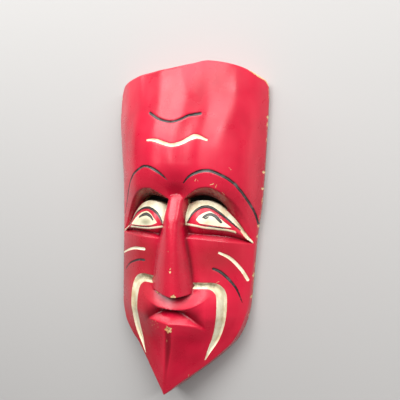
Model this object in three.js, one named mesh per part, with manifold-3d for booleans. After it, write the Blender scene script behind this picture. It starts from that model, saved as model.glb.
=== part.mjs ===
// A carved wooden face mask, painted red, lying on the flat rim of its hollow back.
// Lengths are in millimetres: +X is the wearer's left, +Y is up the forehead, +Z comes out of the face.
// The front is one height surface z = frontHeight(x, y).
// The back is a gouged hollow with a flat rim at z = 0.
import * as THREE from 'three';
import Module from 'manifold-3d';

// ---------------------------------------------------------------- driving dimensions
const LEFT_JAW_Y = -127;        // where the left edge turns in towards the chin point
const RIGHT_JAW_Y = -124;       // where the right edge turns in
const LEFT_CORNER_Y = 157;      // where the left edge meets the top edge
const RIGHT_CORNER_Y = 161;     // where the right edge meets the top edge
const RIM_WIDTH = 11;           // width of the flat rim round the hollow
const TOP_RIM_WIDTH = 12;       // the rim is a little wider along the top edge
const JAW_EDGE_Z = 5;           // height of the plain side under the jaw bevel
const JAW_BEVEL_SLOPE = 4;      // how steeply the jaw bevel rises
const KEEL_SLOPE = 0.58;        // fall of the two flat chin facets from the middle line
const CHIN_LEAN = -7.5;         // the chin point leans this far sideways
const FRONT_GRID = 256;         // finest division of the front surface, a power of two
const HOLLOW_GRID = 64;         // finest division of the hollow
const FRONT_TOLERANCE = 0.6;   // how far the front's triangles may stand off the true surface
const HOLLOW_TOLERANCE = 0.7;   // the same for the hollow
const RED = '#c01334';

// Each curve below is [position, value]: a smooth line goes through the points.
const RIGHT_JAW = [[-194, -8], [-189, 0], [-172, 19], [-155, 38], [-139, 53.5], [-124, 65.5]];
const LEFT_JAW = [[-194, 8], [-189, 15], [-178, 22.5], [-166, 30.5], [-152, 40], [-137, 52], [-127, 61.5]];
const RIGHT_EDGE = curve([...RIGHT_JAW, [-108, 72.5], [-85, 77], [-45, 79], [-10, 80.5],
  [35, 84.5], [85, 85.5], [140, 86], [156, 85], [161, 82]]);
const LEFT_EDGE = curve([...LEFT_JAW, [-113, 70.5], [-90, 76.5], [-40, 79], [0, 80], [45, 82],
  [90, 87], [125, 89.5], [143, 88.5], [153, 84], [157, 79]]);
const CHIN_LEFT = LEFT_JAW.slice(1).reverse().map(([y, x]) => [-x, y]);
const CHIN_EDGE = curve([...CHIN_LEFT, ...RIGHT_JAW.map(([y, x]) => [x, y])]);
const TOP_EDGE = curve([[-79, 157], [-60, 159.5], [-35, 161.5], [-10, 164.5], [12, 168.5],
  [28, 171.5], [57, 169], [82, 161]]);
// Heights along the middle line, for the forehead and for the cheeks, mouth and chin.
const FOREHEAD_HEIGHT = curve([[28, 60], [42, 62.5], [60, 64], [80, 63.5], [110, 61], [150, 57],
  [180, 52]]);
const CHEEK_HEIGHT = curve([[-195, 42], [-180, 46], [-128, 57], [-110, 60], [-97, 60.5],
  [-85, 57.5], [-75, 54],
  [-60, 49], [-38, 47.5], [-12, 48.5], [45, 50]]);
const EDGE_HEIGHT = curve([[-95, 10], [-60, 9], [60, 8], [180, 6]]);
// The lines of each eye socket, from top to bottom, by distance from the middle line.
// The two eyes differ.
const RIGHT_EYE = {
  socketTop: curve([[6, 27], [13, 33.5], [20, 38.5], [27, 42], [34, 42.8], [42, 40.2], [51, 34.5],
    [60, 26], [67, 15], [73, 1], [78, -15]]),
  slitTop: curve([[8, 30], [14, 32], [20, 34], [27, 34.6], [34, 33.2], [41, 30], [47, 25],
    [54, 16.8], [62, 6.5], [70, -6], [77, -15.5]]),
  eyeTop: curve([[8, 22.8], [14, 26], [22, 28.4], [30, 28.8], [38, 26.5], [45, 22.5], [53, 15.3],
    [61, 6], [69, -5], [77, -15.6]]),
  eyeBottom: curve([[8, 3.2], [21, 2.3], [31, 0.7], [41, 0], [50, -1], [60, -3.5], [70, -10],
    [77, -15.8]]),
  ledgeTop: curve([[8, -6.4], [26, -6.8], [40, -7.4], [55, -9], [66, -12], [77, -16]]),
  ledgeBottom: curve([[8, -10.8], [20, -11.4], [40, -13], [50, -14], [64, -15.6], [78, -16.8]]),
  slitInner: 8.5,               // inner end of the slit, beside the nose
  slitOuter: 50,
};
const LEFT_EYE = {
  socketTop: curve([[6, 27], [13, 31.5], [21, 36.5], [29, 39.6], [37, 39], [46, 34.5], [55, 25.6],
    [63, 13.2], [71, -2], [78, -12]]),
  slitTop: curve([[8, 25.5], [14, 27.8], [19, 29.9], [25, 31.6], [33, 32.3], [40, 30.7],
    [46, 26.6], [54, 18.5], [62, 8.5], [69, -3], [77, -12.4]]),
  eyeTop: curve([[8, 19], [13, 20.8], [19, 23], [26, 25], [34, 25.8], [43, 23.4], [52, 16.6],
    [60, 7], [67, -4], [77, -12.5]]),
  eyeBottom: curve([[8, 0], [20, -1.8], [34, -4.2], [48, -4.8], [60, -5.6], [70, -8.4], [77, -12.6]]),
  ledgeTop: curve([[8, -9.8], [20, -9.6], [32, -8.8], [42, -8.3], [55, -8.4], [67, -9.9], [77, -12.8]]),
  ledgeBottom: curve([[8, -12.4], [20, -13.6], [34, -14.6], [50, -14.6], [64, -14.2], [78, -13.8]]),
  slitInner: 13.5,              // the upper nose stands a little to this side
  slitOuter: 46,
};
// The nose, by height up the face: ridge height, roundness, ridge position, middle and half width
// of its foot, and foot height. A roundness of 1 is a plain roof, more makes a broad back.
const NOSE_TOP = curve([[-74, 70], [-66, 69.5], [-30, 66], [6, 61.5], [20, 57.5], [32, 53.5],
  [38, 48], [44, 42]]);
const NOSE_FULLNESS = curve([[-60, 1.5], [-24, 1.5], [0, 2.4], [14, 3.8], [44, 4.2]]);
const NOSE_RIDGE = curve([[-70, 5], [-50, 3.6], [-30, 2], [-10, 0.9], [10, 0], [36, -0.5]]);
const NOSE_MIDDLE = curve([[-70, -1.6], [-61, -1.6], [-39, -2.5], [-14, -3.6], [0, -3.5], [30, -0.8]]);
const NOSE_HALF = curve([[-70, 21], [-61, 20.2], [-39, 17.4], [-14, 14], [0, 12], [12, 10.8],
  [22, 9.9], [36, 9.4]]);
const NOSE_FOOT = curve([[-70, 48], [-20, 47.5], [-8, 46], [4, 44], [20, 43], [44, 38]]);
// The moustache groove runs out from the nose and down to the jaw.
const GROOVE_POINTS = [[21, -60.5], [31, -60.3], [39, -60.8], [45.5, -64.5], [49, -71], [50, -82],
  [49.7, -94],
  [47.5, -107], [44, -119], [39, -130], [33.5, -143]];
const GROOVE_HALF = curve([[0, 3.2], [0.12, 3.2], [0.3, 4.6], [0.45, 4.9], [0.65, 4.5], [0.85, 3],
  [1, 0.4]]);
const GROOVE_DEPTH = curve([[0, 3.6], [0.3, 3.5], [0.6, 3], [0.85, 2.2], [1, 0.3]]);
const HOLLOW_DEPTH = curve([[-172, 20], [-130, 29], [-90, 33], [-60, 33], [-20, 29], [30, 27],
  [50, 35], [70, 44], [110, 46], [160, 40]]);

// ---------------------------------------------------------------- small helpers
function clamp(x, low, high) {
  return Math.min(Math.max(x, low), high);
}

function smooth(from, to, x) {
  const t = clamp((x - from) / (to - from), 0, 1);
  return t * t * (3 - 2 * t);
}

function lerp(a, b, t) {
  return a + (b - a) * t;
}

function softMin(a, b, k) {
  const h = clamp(0.5 + 0.5 * (b - a) / k, 0, 1);
  return b * (1 - h) + a * h - k * h * (1 - h);
}

function softMax(a, b, k) {
  return -softMin(-a, -b, k);
}

// A smooth line through points of rising x that never overshoots them.
function curve(points) {
  const last = points.length - 1;
  const slope = [];
  for (let i = 0; i < last; i++) {
    slope.push((points[i + 1][1] - points[i][1]) / (points[i + 1][0] - points[i][0]));
  }
  const tangent = points.map((p, i) => {
    if (i === 0) return slope[0];
    if (i === last) return slope[last - 1];
    const a = slope[i - 1];
    const b = slope[i];
    return a * b <= 0 ? 0 : 2 * a * b / (a + b);
  });
  return (at) => {
    const x = clamp(at, points[0][0], points[last][0]);
    let i = 0;
    while (i < last - 1 && x > points[i + 1][0]) i++;
    const h = points[i + 1][0] - points[i][0];
    const t = (x - points[i][0]) / h;
    return (1 + 2 * t) * (1 - t) ** 2 * points[i][1] + t * (1 - t) ** 2 * h * tangent[i]
      + t * t * (3 - 2 * t) * points[i + 1][1] + t * t * (t - 1) * h * tangent[i + 1];
  };
}

// ---------------------------------------------------------------- the front surface
// Half width of the face at one height, without the rounding of the top corners.
function halfWidth(x, y) {
  return x >= 0 ? RIGHT_EDGE(Math.min(y, 140)) : LEFT_EDGE(Math.min(y, 130));
}

// How far a point lies inside one side edge, measured square to that edge.
function fromEdge(edge, x, y) {
  const run = (edge(y + 1) - edge(y - 1)) / 2;
  return (edge(y) - x) / Math.sqrt(1 + run * run);
}

// The forehead: a broad vault that turns down to the edges, dented above the nose.
function foreheadHeight(x, y, half) {
  const middle = FOREHEAD_HEIGHT(y);
  const across = middle - (middle - EDGE_HEIGHT(y)) * clamp(Math.abs(x) / half, 0, 1.3) ** 2.6;
  const dent = 5.5 * Math.exp(-((x / 21) ** 2)) * smooth(66, 36, y);
  const noseRoot = 4 * Math.exp(-((x / 12) ** 2)) * smooth(48, 32, y);
  return across - dent - noseRoot;
}

// The cheeks are a vault, the chin is two flat facets that meet on a keel, and the jaw is a steep bevel.
function cheekHeight(x, y, half) {
  const middle = CHEEK_HEIGHT(y);
  const vault = middle - (middle - EDGE_HEIGHT(y)) * clamp(Math.abs(x) / half, 0, 1.3) ** 2.2;
  const keelX = CHIN_LEAN * smooth(-100, -190, y);
  const facets = middle + 0.6 - KEEL_SLOPE * Math.sqrt((x - keelX) ** 2 + 1);
  const face = lerp(vault, facets, smooth(-76, -124, y));
  const inside = Math.min(fromEdge(RIGHT_EDGE, x, y), fromEdge(LEFT_EDGE, -x, y));
  return softMin(face, JAW_EDGE_Z + JAW_BEVEL_SLOPE * inside, 1.5);
}

// The raised upper lip, the sunk mouth line and the lower lip, as a height added to the face.
function mouthRelief(x, y) {
  const ax = Math.abs(x);
  const side = x < 0 ? ax * 34 / 25 : ax;
  const collarY = -85 + 18 * (ax / 42) ** 2.6;
  const mouthY = -87.5 - 19 * (ax / 34) ** 1.8;
  const lipY = x < 0 ? -99 : -99 - 7 * (ax / 34) ** 2.5;
  const collar = 2 * Math.max(1 - (ax / 44) ** 2, 0);
  const sunk = -9.5 * Math.max(1 - (side / 35.5) ** 2, 0);
  const lip = 1.6 * Math.max(1 - (side / 34) ** 2, 0);
  let relief = 0;
  if (y > collarY) relief = collar * Math.max(1 - (y - collarY) / 14, 0);
  const into = clamp((collarY - y) / Math.max(collarY - mouthY, 0.5), 0, 1) ** 0.8;
  if (y <= collarY) relief = lerp(collar, sunk, into);
  if (y <= mouthY) relief = lerp(sunk, lip, clamp((mouthY - y) / Math.max(mouthY - lipY, 0.5), 0, 1));
  if (y <= Math.min(lipY, mouthY)) relief = lip * Math.max(1 - (Math.min(lipY, mouthY) - y) / 16, 0);
  return relief * smooth(44, 34, ax);
}

// The eye socket: a ledge, an undercut, the domed eye, the slit's seat and the coved roof under the brow.
function socketHeight(x, y, face, cheek) {
  const ax = Math.abs(x);
  const eye = x < 0 ? LEFT_EYE : RIGHT_EYE;
  const top = eye.socketTop(ax);
  const bottom = eye.ledgeBottom(ax);
  if (ax > 78 || y <= bottom || y >= top) return face;
  const slit = eye.slitTop(ax);
  const eyeTop = eye.eyeTop(ax);
  const eyeBottom = eye.eyeBottom(ax);
  const ledge = eye.ledgeTop(ax);
  const fade = smooth(0, 14, top - bottom);
  const deep = 6 * (1 - smooth(8, 28, ax));
  const undercut = cheek - (4.8 + deep * 0.3) * fade;
  const lid = cheek + (3 - deep) * fade;
  const seat = lid - (9.5 - 5 * smooth(44, 74, ax)) * fade;
  if (y <= ledge) return lerp(face, undercut, (y - bottom) / Math.max(ledge - bottom, 0.1));
  if (y <= eyeBottom) return lerp(undercut, lid, ((y - ledge) / Math.max(eyeBottom - ledge, 0.1)) ** 0.8);
  if (y <= eyeTop) return lid - 8 * ((y - eyeBottom) / (eyeTop - eyeBottom)) ** 1.8 * fade;
  if (y <= slit) return lerp(lid - 8 * fade, seat, (y - eyeTop) / Math.max(slit - eyeTop, 0.1));
  return lerp(seat, face, (y - slit) / Math.max(top - slit, 0.1));
}

const groove = grooveLine();

// A smooth line through the groove's points, cut into short steps.
function grooveLine() {
  const points = GROOVE_POINTS.map(([x, y]) => new THREE.Vector3(x, y, 0));
  return new THREE.CatmullRomCurve3(points, false, 'catmullrom', 0.5).getPoints((points.length - 1) * 4);
}

// How deep the moustache groove is at a point: steep on its outer side, gentle on its inner side.
function grooveDepth(x, y) {
  if (Math.abs(x) < 14 || Math.abs(x) > 58 || y > -50 || y < -150) return 0;
  // The left groove is a little wider and starts higher than the right one.
  const shift = x < 0 ? smooth(-140, -65, y) : 0;
  const gx = Math.abs(x) + 1.2 * shift;
  const gy = y - 1.8 * shift;
  let best = Infinity;
  let place = 0;
  let side = 1;
  for (let i = 0; i < groove.length - 1; i++) {
    const a = groove[i];
    const dx = groove[i + 1].x - a.x;
    const dy = groove[i + 1].y - a.y;
    const t = clamp(((gx - a.x) * dx + (gy - a.y) * dy) / (dx * dx + dy * dy), 0, 1);
    const qx = gx - a.x - dx * t;
    const qy = gy - a.y - dy * t;
    const far = Math.hypot(qx, qy);
    if (far < best) {
      best = far;
      place = (i + t) / (groove.length - 1);
      side = dx * qy - dy * qx >= 0 ? 1 : -1;
    }
  }
  const half = GROOVE_HALF(place) + (x < 0 ? 0.8 * smooth(1, 0.8, place) : 0);
  if (best >= half) return 0;
  const v = side * best / half;
  const deepest = lerp(0, 0.4, smooth(0.2, 0.45, place));
  const bowl = v > deepest ? (1 - v) / (1 - deepest) : (1 + v) / (1 + deepest);
  return GROOVE_DEPTH(place) * bowl;
}

// The nose is a roof with a ridge, two flat sides and a cut-off underside.
function noseHeight(x, y) {
  if (y > 44 || y < -80) return -1000;
  const ridge = NOSE_RIDGE(y);
  const top = NOSE_TOP(y);
  const reach = x >= ridge ? NOSE_MIDDLE(y) + NOSE_HALF(y) - ridge : ridge - NOSE_MIDDLE(y) + NOSE_HALF(y);
  const off = x - ridge;
  if (Math.abs(off) > 1.5 * reach) return -1000;
  const underside = -69.5 + 1.5 * clamp(Math.abs(off) / 20, 0, 1) ** 2;
  const side = ((Math.sqrt(off * off + 5) - 1.4) / reach) ** NOSE_FULLNESS(y);
  return top - (top - NOSE_FOOT(y)) * side - 6 * clamp(underside - y, 0, 20);
}

function frontHeight(x, y) {
  const half = halfWidth(x, y);
  const cheek = cheekHeight(x, y, half);
  const forehead = foreheadHeight(x, y, half);
  const face = lerp(cheek, forehead, smooth(-15, 45, y)) + mouthRelief(x, y);
  const carved = socketHeight(x, y, face, cheek) - grooveDepth(x, y);
  return softMax(carved, noseHeight(x, y), 1.2);
}

// ---------------------------------------------------------------- outlines
// A point of the plan inside the outline:
// s runs from the left edge to the right, t from the jaw to the top.
function spread(s, t, leftAt, rightAt, topAt, bottomAt) {
  const l = leftAt(t);
  const r = rightAt(t);
  const top = topAt(s);
  const b = bottomAt(s);
  const corners = [leftAt(0), rightAt(0), leftAt(1), rightAt(1)];
  return [0, 1].map((k) => (1 - t) * b[k] + t * top[k] + (1 - s) * l[k] + s * r[k]
    - (1 - t) * ((1 - s) * corners[0][k] + s * corners[1][k])
    - t * ((1 - s) * corners[2][k] + s * corners[3][k]));
}

function outerPlan(s, t) {
  const leftAt = (v) => { const y = lerp(LEFT_JAW_Y, LEFT_CORNER_Y, v); return [-LEFT_EDGE(y), y]; };
  const rightAt = (v) => { const y = lerp(RIGHT_JAW_Y, RIGHT_CORNER_Y, v); return [RIGHT_EDGE(y), y]; };
  const topAt = along(TOP_EDGE, leftAt(1), rightAt(1));
  const footAt = along(CHIN_EDGE, leftAt(0), rightAt(0));
  return spread(s, t, leftAt, rightAt, topAt, footAt);
}

function hollowPlan(s, t) {
  const edge = (y, sign) => {
    const x = sign > 0 ? RIGHT_EDGE : LEFT_EDGE;
    const run = (x(y + 1) - x(y - 1)) / 2;
    return [sign * (x(y) - RIM_WIDTH * Math.sqrt(1 + run * run)), y];
  };
  const leftAt = (v) => edge(lerp(LEFT_JAW_Y + 3, LEFT_CORNER_Y - TOP_RIM_WIDTH, v), -1);
  const rightAt = (v) => edge(lerp(RIGHT_JAW_Y + 3, RIGHT_CORNER_Y - TOP_RIM_WIDTH, v), 1);
  const topAt = along(TOP_EDGE, leftAt(1), rightAt(1));
  const footAt = along(CHIN_EDGE, leftAt(0), rightAt(0));
  return spread(s, t, leftAt, rightAt, topAt, footAt);
}

// A line that keeps the shape of an edge and ends at two given corners.
function along(edge, left, right) {
  const offLeft = left[1] - edge(left[0]);
  const offRight = right[1] - edge(right[0]);
  return (u) => {
    const x = lerp(left[0], right[0], u);
    return [x, edge(x) + lerp(offLeft, offRight, u)];
  };
}

function hollowHeight(s, t, y) {
  const across = 1 - Math.abs(2 * s - 1) ** 2.6;
  const along = 1 - Math.abs(2 * t - 1) ** 10;
  return HOLLOW_DEPTH(y) * across * along;
}

// ---------------------------------------------------------------- adaptive surface
// Splits the unit square into right triangles, finer where the surface bends, with no gaps between them.
// place(s, t) gives the point in space. The result keeps the border points in order, anticlockwise.
function adaptiveSheet(grid, place, tolerance) {
  const size = grid + 1;
  const at = [];
  for (let j = 0; j < size; j++) {
    for (let i = 0; i < size; i++) {
      at.push(place(i / grid, j / grid));
    }
  }
  const errors = middleErrors(grid, at);
  const index = new Map();
  const points = [];
  const triangles = [];
  const vertex = (i, j) => {
    const key = j * size + i;
    if (!index.has(key)) {
      index.set(key, points.length);
      points.push(at[key]);
    }
    return index.get(key);
  };
  const split = (ax, ay, bx, by, cx, cy) => {
    const mx = (ax + bx) >> 1;
    const my = (ay + by) >> 1;
    if (Math.abs(ax - cx) + Math.abs(ay - cy) > 1 && errors[my * size + mx] > tolerance) {
      split(cx, cy, ax, ay, mx, my);
      split(bx, by, cx, cy, mx, my);
    } else {
      triangles.push([vertex(ax, ay), vertex(bx, by), vertex(cx, cy)]);
    }
  };
  split(0, 0, grid, grid, grid, 0);
  split(grid, grid, 0, 0, 0, grid);
  return { points, triangles: triangles.map((t) => faceUp(t, points)), border: borderOf(grid, index) };
}

// The worst distance between the surface and each triangle's long side, carried up from fine to coarse.
function middleErrors(grid, at) {
  const size = grid + 1;
  const errors = new Float64Array(size * size);
  const total = grid * grid * 2 - 2;
  const parents = total - grid * grid;
  for (let n = total - 1; n >= 0; n--) {
    let id = n + 2;
    let [ax, ay, bx, by, cx, cy] = id & 1 ? [0, 0, grid, grid, grid, 0] : [grid, grid, 0, 0, 0, grid];
    while ((id >>= 1) > 1) {
      const mx = (ax + bx) >> 1;
      const my = (ay + by) >> 1;
      [ax, ay, bx, by] = id & 1 ? [cx, cy, ax, ay] : [bx, by, cx, cy];
      [cx, cy] = [mx, my];
    }
    const mx = (ax + bx) >> 1;
    const my = (ay + by) >> 1;
    const m = my * size + mx;
    const a = at[ay * size + ax];
    const b = at[by * size + bx];
    const gap = at[m].map((v, k) => v - (a[k] + b[k]) / 2);
    const onBorder = mx === 0 || my === 0 || mx === grid || my === grid;
    const off = onBorder ? Math.hypot(...gap) : Math.abs(dot(gap, normalAt(grid, at, mx, my)));
    errors[m] = Math.max(errors[m], off);
    if (n < parents) {
      const left = ((ay + cy) >> 1) * size + ((ax + cx) >> 1);
      const right = ((by + cy) >> 1) * size + ((bx + cx) >> 1);
      errors[m] = Math.max(errors[m], errors[left], errors[right]);
    }
  }
  return errors;
}

// The surface's direction at one inner point of the grid.
function normalAt(grid, at, i, j) {
  const size = grid + 1;
  const right = at[j * size + i + 1];
  const left = at[j * size + i - 1];
  const up = at[(j + 1) * size + i];
  const down = at[(j - 1) * size + i];
  const u = right.map((v, k) => v - left[k]);
  const v = up.map((w, k) => w - down[k]);
  const n = [u[1] * v[2] - u[2] * v[1], u[2] * v[0] - u[0] * v[2], u[0] * v[1] - u[1] * v[0]];
  const length = Math.hypot(...n);
  return n.map((w) => w / length);
}

function dot(a, b) {
  return a[0] * b[0] + a[1] * b[1] + a[2] * b[2];
}

function faceUp([a, b, c], points) {
  const [p, q, r] = [points[a], points[b], points[c]];
  const area = (q[0] - p[0]) * (r[1] - p[1]) - (r[0] - p[0]) * (q[1] - p[1]);
  return area > 0 ? [a, b, c] : [a, c, b];
}

// The used points on the four sides of the square, anticlockwise, each with its way round from 0 to 4.
function borderOf(grid, index) {
  const border = [];
  const visit = (i, j, way) => {
    const key = j * (grid + 1) + i;
    if (index.has(key)) border.push({ point: index.get(key), way });
  };
  for (let i = 0; i < grid; i++) visit(i, 0, i / grid);
  for (let j = 0; j < grid; j++) visit(grid, j, 1 + j / grid);
  for (let i = grid; i > 0; i--) visit(i, grid, 3 - i / grid);
  for (let j = grid; j > 0; j--) visit(0, j, 4 - j / grid);
  return border;
}

// A flat band of triangles between two borders, walking round both together.
function ringBetween(outer, inner) {
  const triangles = [];
  const way = (border, k) => (k < border.length ? border[k].way : 4);
  const point = (border, k) => border[k % border.length].point;
  let a = 0;
  let b = 0;
  while (a < outer.length || b < inner.length) {
    const nextOuter = a < outer.length ? way(outer, a + 1) : Infinity;
    const nextInner = b < inner.length ? way(inner, b + 1) : Infinity;
    if (nextOuter <= nextInner) {
      triangles.push([point(outer, a), point(inner, b), point(outer, a + 1)]);
      a += 1;
    } else {
      triangles.push([point(outer, a), point(inner, b), point(inner, b + 1)]);
      b += 1;
    }
  }
  return triangles;
}

// ---------------------------------------------------------------- the carved shell
// Front, upright outer wall, flat rim and hollow, joined into one closed body.
function shellGeometry() {
  const front = adaptiveSheet(FRONT_GRID, (s, t) => {
    const [x, y] = outerPlan(s, t);
    return [x, y, frontHeight(x, y)];
  }, FRONT_TOLERANCE);
  const hollow = adaptiveSheet(HOLLOW_GRID, (s, t) => {
    const [x, y] = hollowPlan(s, t);
    return [x, y, hollowHeight(s, t, y)];
  }, HOLLOW_TOLERANCE);
  const points = [...front.points];
  const triangles = [...front.triangles];
  const foot = front.border.map(({ point, way }) => {
    points.push([points[point][0], points[point][1], 0]);
    return { point: points.length - 1, way };
  });
  foot.forEach((corner, i) => {
    const next = (i + 1) % foot.length;
    triangles.push([front.border[i].point, corner.point, foot[next].point]);
    triangles.push([front.border[i].point, foot[next].point, front.border[next].point]);
  });
  const start = points.length;
  points.push(...hollow.points);
  triangles.push(...hollow.triangles.map(([p, q, r]) => [start + p, start + r, start + q]));
  const inner = hollow.border.map(({ point, way }) => ({ point: start + point, way }));
  inner.forEach(({ point }) => { points[point][2] = 0; });
  triangles.push(...ringBetween(foot, inner));
  const geometry = new THREE.BufferGeometry();
  geometry.setAttribute('position', new THREE.Float32BufferAttribute(points.flat(), 3));
  geometry.setIndex(triangles.flat());
  return geometry;
}

// The long crescent opening over one eye, as an upright bar that passes through the shell.
function slitGeometry(sign, eye) {
  const steps = 14;
  const outline = new THREE.Shape();
  for (let i = 0; i <= steps; i++) {
    const x = lerp(eye.slitInner, eye.slitOuter, i / steps);
    outline[i === 0 ? 'moveTo' : 'lineTo'](sign * x, eye.eyeTop(x) + 0.2);
  }
  for (let i = steps; i >= 0; i--) {
    const x = lerp(eye.slitInner, eye.slitOuter, i / steps);
    outline.lineTo(sign * x, eye.slitTop(x));
  }
  outline.closePath();
  const bar = new THREE.ExtrudeGeometry(outline, { depth: 80, bevelEnabled: false });
  bar.translate(0, 0, 2);
  return weld(bar);
}

// Merges the shared corners of a closed geometry, leaving positions only.
function weld(geometry) {
  const position = geometry.attributes.position;
  const order = geometry.index ? [...geometry.index.array] : [...Array(position.count).keys()];
  const seen = new Map();
  const points = [];
  const index = order.map((i) => {
    const p = [position.getX(i), position.getY(i), position.getZ(i)];
    const key = p.map((v) => Math.round(v * 1e4)).join(' ');
    if (!seen.has(key)) seen.set(key, points.push(p) - 1);
    return seen.get(key);
  });
  const welded = new THREE.BufferGeometry();
  welded.setAttribute('position', new THREE.Float32BufferAttribute(points.flat(), 3));
  welded.setIndex(index);
  return welded;
}

const wasm = await Module();
wasm.setup();

function toSolid(geometry) {
  return new wasm.Manifold(new wasm.Mesh({
    numProp: 3,
    vertProperties: new Float32Array(geometry.attributes.position.array),
    triVerts: new Uint32Array(geometry.index.array),
  }));
}

function fromSolid(solid) {
  const mesh = solid.getMesh();
  const geometry = new THREE.BufferGeometry();
  geometry.setAttribute('position', new THREE.Float32BufferAttribute(mesh.vertProperties, 3));
  geometry.setIndex([...mesh.triVerts]);
  return geometry;
}

function maskGeometry() {
  const shell = toSolid(shellGeometry());
  const right = toSolid(slitGeometry(1, RIGHT_EYE));
  const left = toSolid(slitGeometry(-1, LEFT_EYE));
  const geometry = fromSolid(shell.subtract(right).subtract(left));
  geometry.computeBoundingBox();
  const middle = geometry.boundingBox.getCenter(new THREE.Vector3());
  geometry.translate(-middle.x, -middle.y, 0);
  geometry.computeVertexNormals();
  return geometry;
}

const paintedWood = new THREE.MeshStandardMaterial({ color: RED, roughness: 0.3, metalness: 0 });
const mask = new THREE.Mesh(maskGeometry(), paintedWood);
mask.name = 'mask';

const group = new THREE.Group();
group.add(mask);

export default group;
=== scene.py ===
# %% [markdown]
# # A carved and painted wooden face mask
# The mask is one piece of wood: a long face with a pointed chin, hollowed from behind and painted
# with glossy red, cream and black. It lies face up on the flat rim of its hollow.
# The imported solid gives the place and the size. This script makes the finished surface over it:
# the crisp carving, the thin cut lines, the paint and the worn spots.
# %% Load the frame
import math

import bpy
import numpy as np
from mathutils import Matrix, Vector


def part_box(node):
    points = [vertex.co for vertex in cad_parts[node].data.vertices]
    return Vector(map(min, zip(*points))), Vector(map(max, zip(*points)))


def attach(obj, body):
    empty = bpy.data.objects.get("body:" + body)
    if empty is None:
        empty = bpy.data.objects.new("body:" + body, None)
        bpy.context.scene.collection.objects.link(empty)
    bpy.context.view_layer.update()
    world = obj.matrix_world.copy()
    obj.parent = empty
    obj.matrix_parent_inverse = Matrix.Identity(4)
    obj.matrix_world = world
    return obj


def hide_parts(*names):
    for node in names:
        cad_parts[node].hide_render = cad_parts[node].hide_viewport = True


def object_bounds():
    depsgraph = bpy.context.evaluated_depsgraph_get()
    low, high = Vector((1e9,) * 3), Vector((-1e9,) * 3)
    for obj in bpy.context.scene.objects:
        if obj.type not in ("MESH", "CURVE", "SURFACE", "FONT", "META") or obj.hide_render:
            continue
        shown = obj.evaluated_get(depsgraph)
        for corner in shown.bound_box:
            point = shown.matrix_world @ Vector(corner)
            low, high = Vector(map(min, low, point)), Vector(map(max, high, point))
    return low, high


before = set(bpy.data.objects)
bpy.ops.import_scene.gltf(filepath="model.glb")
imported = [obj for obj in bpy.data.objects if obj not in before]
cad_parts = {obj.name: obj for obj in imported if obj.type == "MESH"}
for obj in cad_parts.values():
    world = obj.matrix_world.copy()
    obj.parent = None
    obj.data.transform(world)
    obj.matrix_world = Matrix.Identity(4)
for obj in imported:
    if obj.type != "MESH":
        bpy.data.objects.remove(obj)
cad_low, cad_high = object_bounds()
print("solid size, mm:", [round(1000 * v, 1) for v in (cad_high - cad_low)])

# %% [markdown]
# ## Curves
# A carver works from a few lines drawn on the block. Each line here is a short list of
# (position, value) pairs in millimetres, joined by a smooth curve that never overshoots its points,
# so a bump appears only where a point asks for one. Blender could draw these as Bezier curves, but a
# plain function can be asked for its value at every point of the surface at once.
# %% Smooth lines and blends
MM = 0.001


def smooth(start, end, x):
    """0 at start, 1 at end, with a soft beginning and end between them."""
    t = np.clip((x - start) / (end - start), 0, 1)
    return t * t * (3 - 2 * t)


def mix(a, b, t):
    """From a at t = 0 to b at t = 1."""
    return a + (b - a) * t


def soft_min(a, b, blend):
    """The lower of two heights, with a rounded corner where they cross."""
    h = np.clip(0.5 + 0.5 * (b - a) / blend, 0, 1)
    return b * (1 - h) + a * h - blend * h * (1 - h)


def soft_max(a, b, blend):
    """The higher of two heights, with a rounded corner where they cross."""
    return -soft_min(-a, -b, blend)


def line(*points):
    """A smooth line through (position, value) points, as a function of position."""
    xs, ys = np.array(points, float).T
    steps = np.diff(ys) / np.diff(xs)
    before, after = steps[:-1], steps[1:]
    same_way = before * after > 0
    middle = np.where(same_way, 2 * before * after / np.where(same_way, before + after, 1), 0)
    slopes = np.concatenate([steps[:1], middle, steps[-1:]])

    def at(x):
        x = np.clip(x, xs[0], xs[-1])
        i = np.clip(np.searchsorted(xs, x, side="left") - 1, 0, len(xs) - 2)
        h = xs[i + 1] - xs[i]
        t = (x - xs[i]) / h
        return (
            (1 + 2 * t) * (1 - t) ** 2 * ys[i]
            + t * (1 - t) ** 2 * h * slopes[i]
            + t * t * (3 - 2 * t) * ys[i + 1]
            + t * t * (t - 1) * h * slopes[i + 1]
        )

    return at


arch = line((0, 0), (1, 1), (2, 0))
print("an arch through three points, halfway up its side:", round(float(arch(0.5)), 2))

# %% [markdown]
# ## Outline
# Seen from the front the mask is a long shield: nearly straight sides, a top edge that rises to one
# side, and two straight jaw lines that meet in a sharp chin. It is hand cut, so the two halves differ.
# Widths are given for each height up the face, with zero on the bridge of the nose.
# %% Outline of the mask
LEFT_JAW_Y = -127
RIGHT_JAW_Y = -124
LEFT_CORNER_Y = 157
RIGHT_CORNER_Y = 161
RIGHT_JAW = [(-194, -8), (-189, 0), (-172, 19), (-155, 38), (-139, 53.5), (-124, 65.5)]
LEFT_JAW = [(-194, 8), (-189, 15), (-178, 22.5), (-166, 30.5), (-152, 40), (-137, 52), (-127, 61.5)]
RIGHT_SIDE = [
    (-108, 72.5), (-85, 77), (-45, 79), (-10, 80.5), (35, 84.5), (85, 85.5), (140, 86), (156, 85),
]
LEFT_SIDE = [
    (-113, 70.5), (-90, 76.5), (-40, 79), (0, 80), (45, 82), (90, 87), (125, 89.5), (143, 88.5),
]
RIGHT_ROUNDS_FROM = 140
LEFT_ROUNDS_FROM = 130
RIGHT_EDGE = line(*RIGHT_JAW, *RIGHT_SIDE, (161, 82))
LEFT_EDGE = line(*LEFT_JAW, *LEFT_SIDE, (153, 84), (157, 79))
CHIN_EDGE = line(*[(-x, y) for y, x in LEFT_JAW[:0:-1]], *[(x, y) for y, x in RIGHT_JAW])
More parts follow.
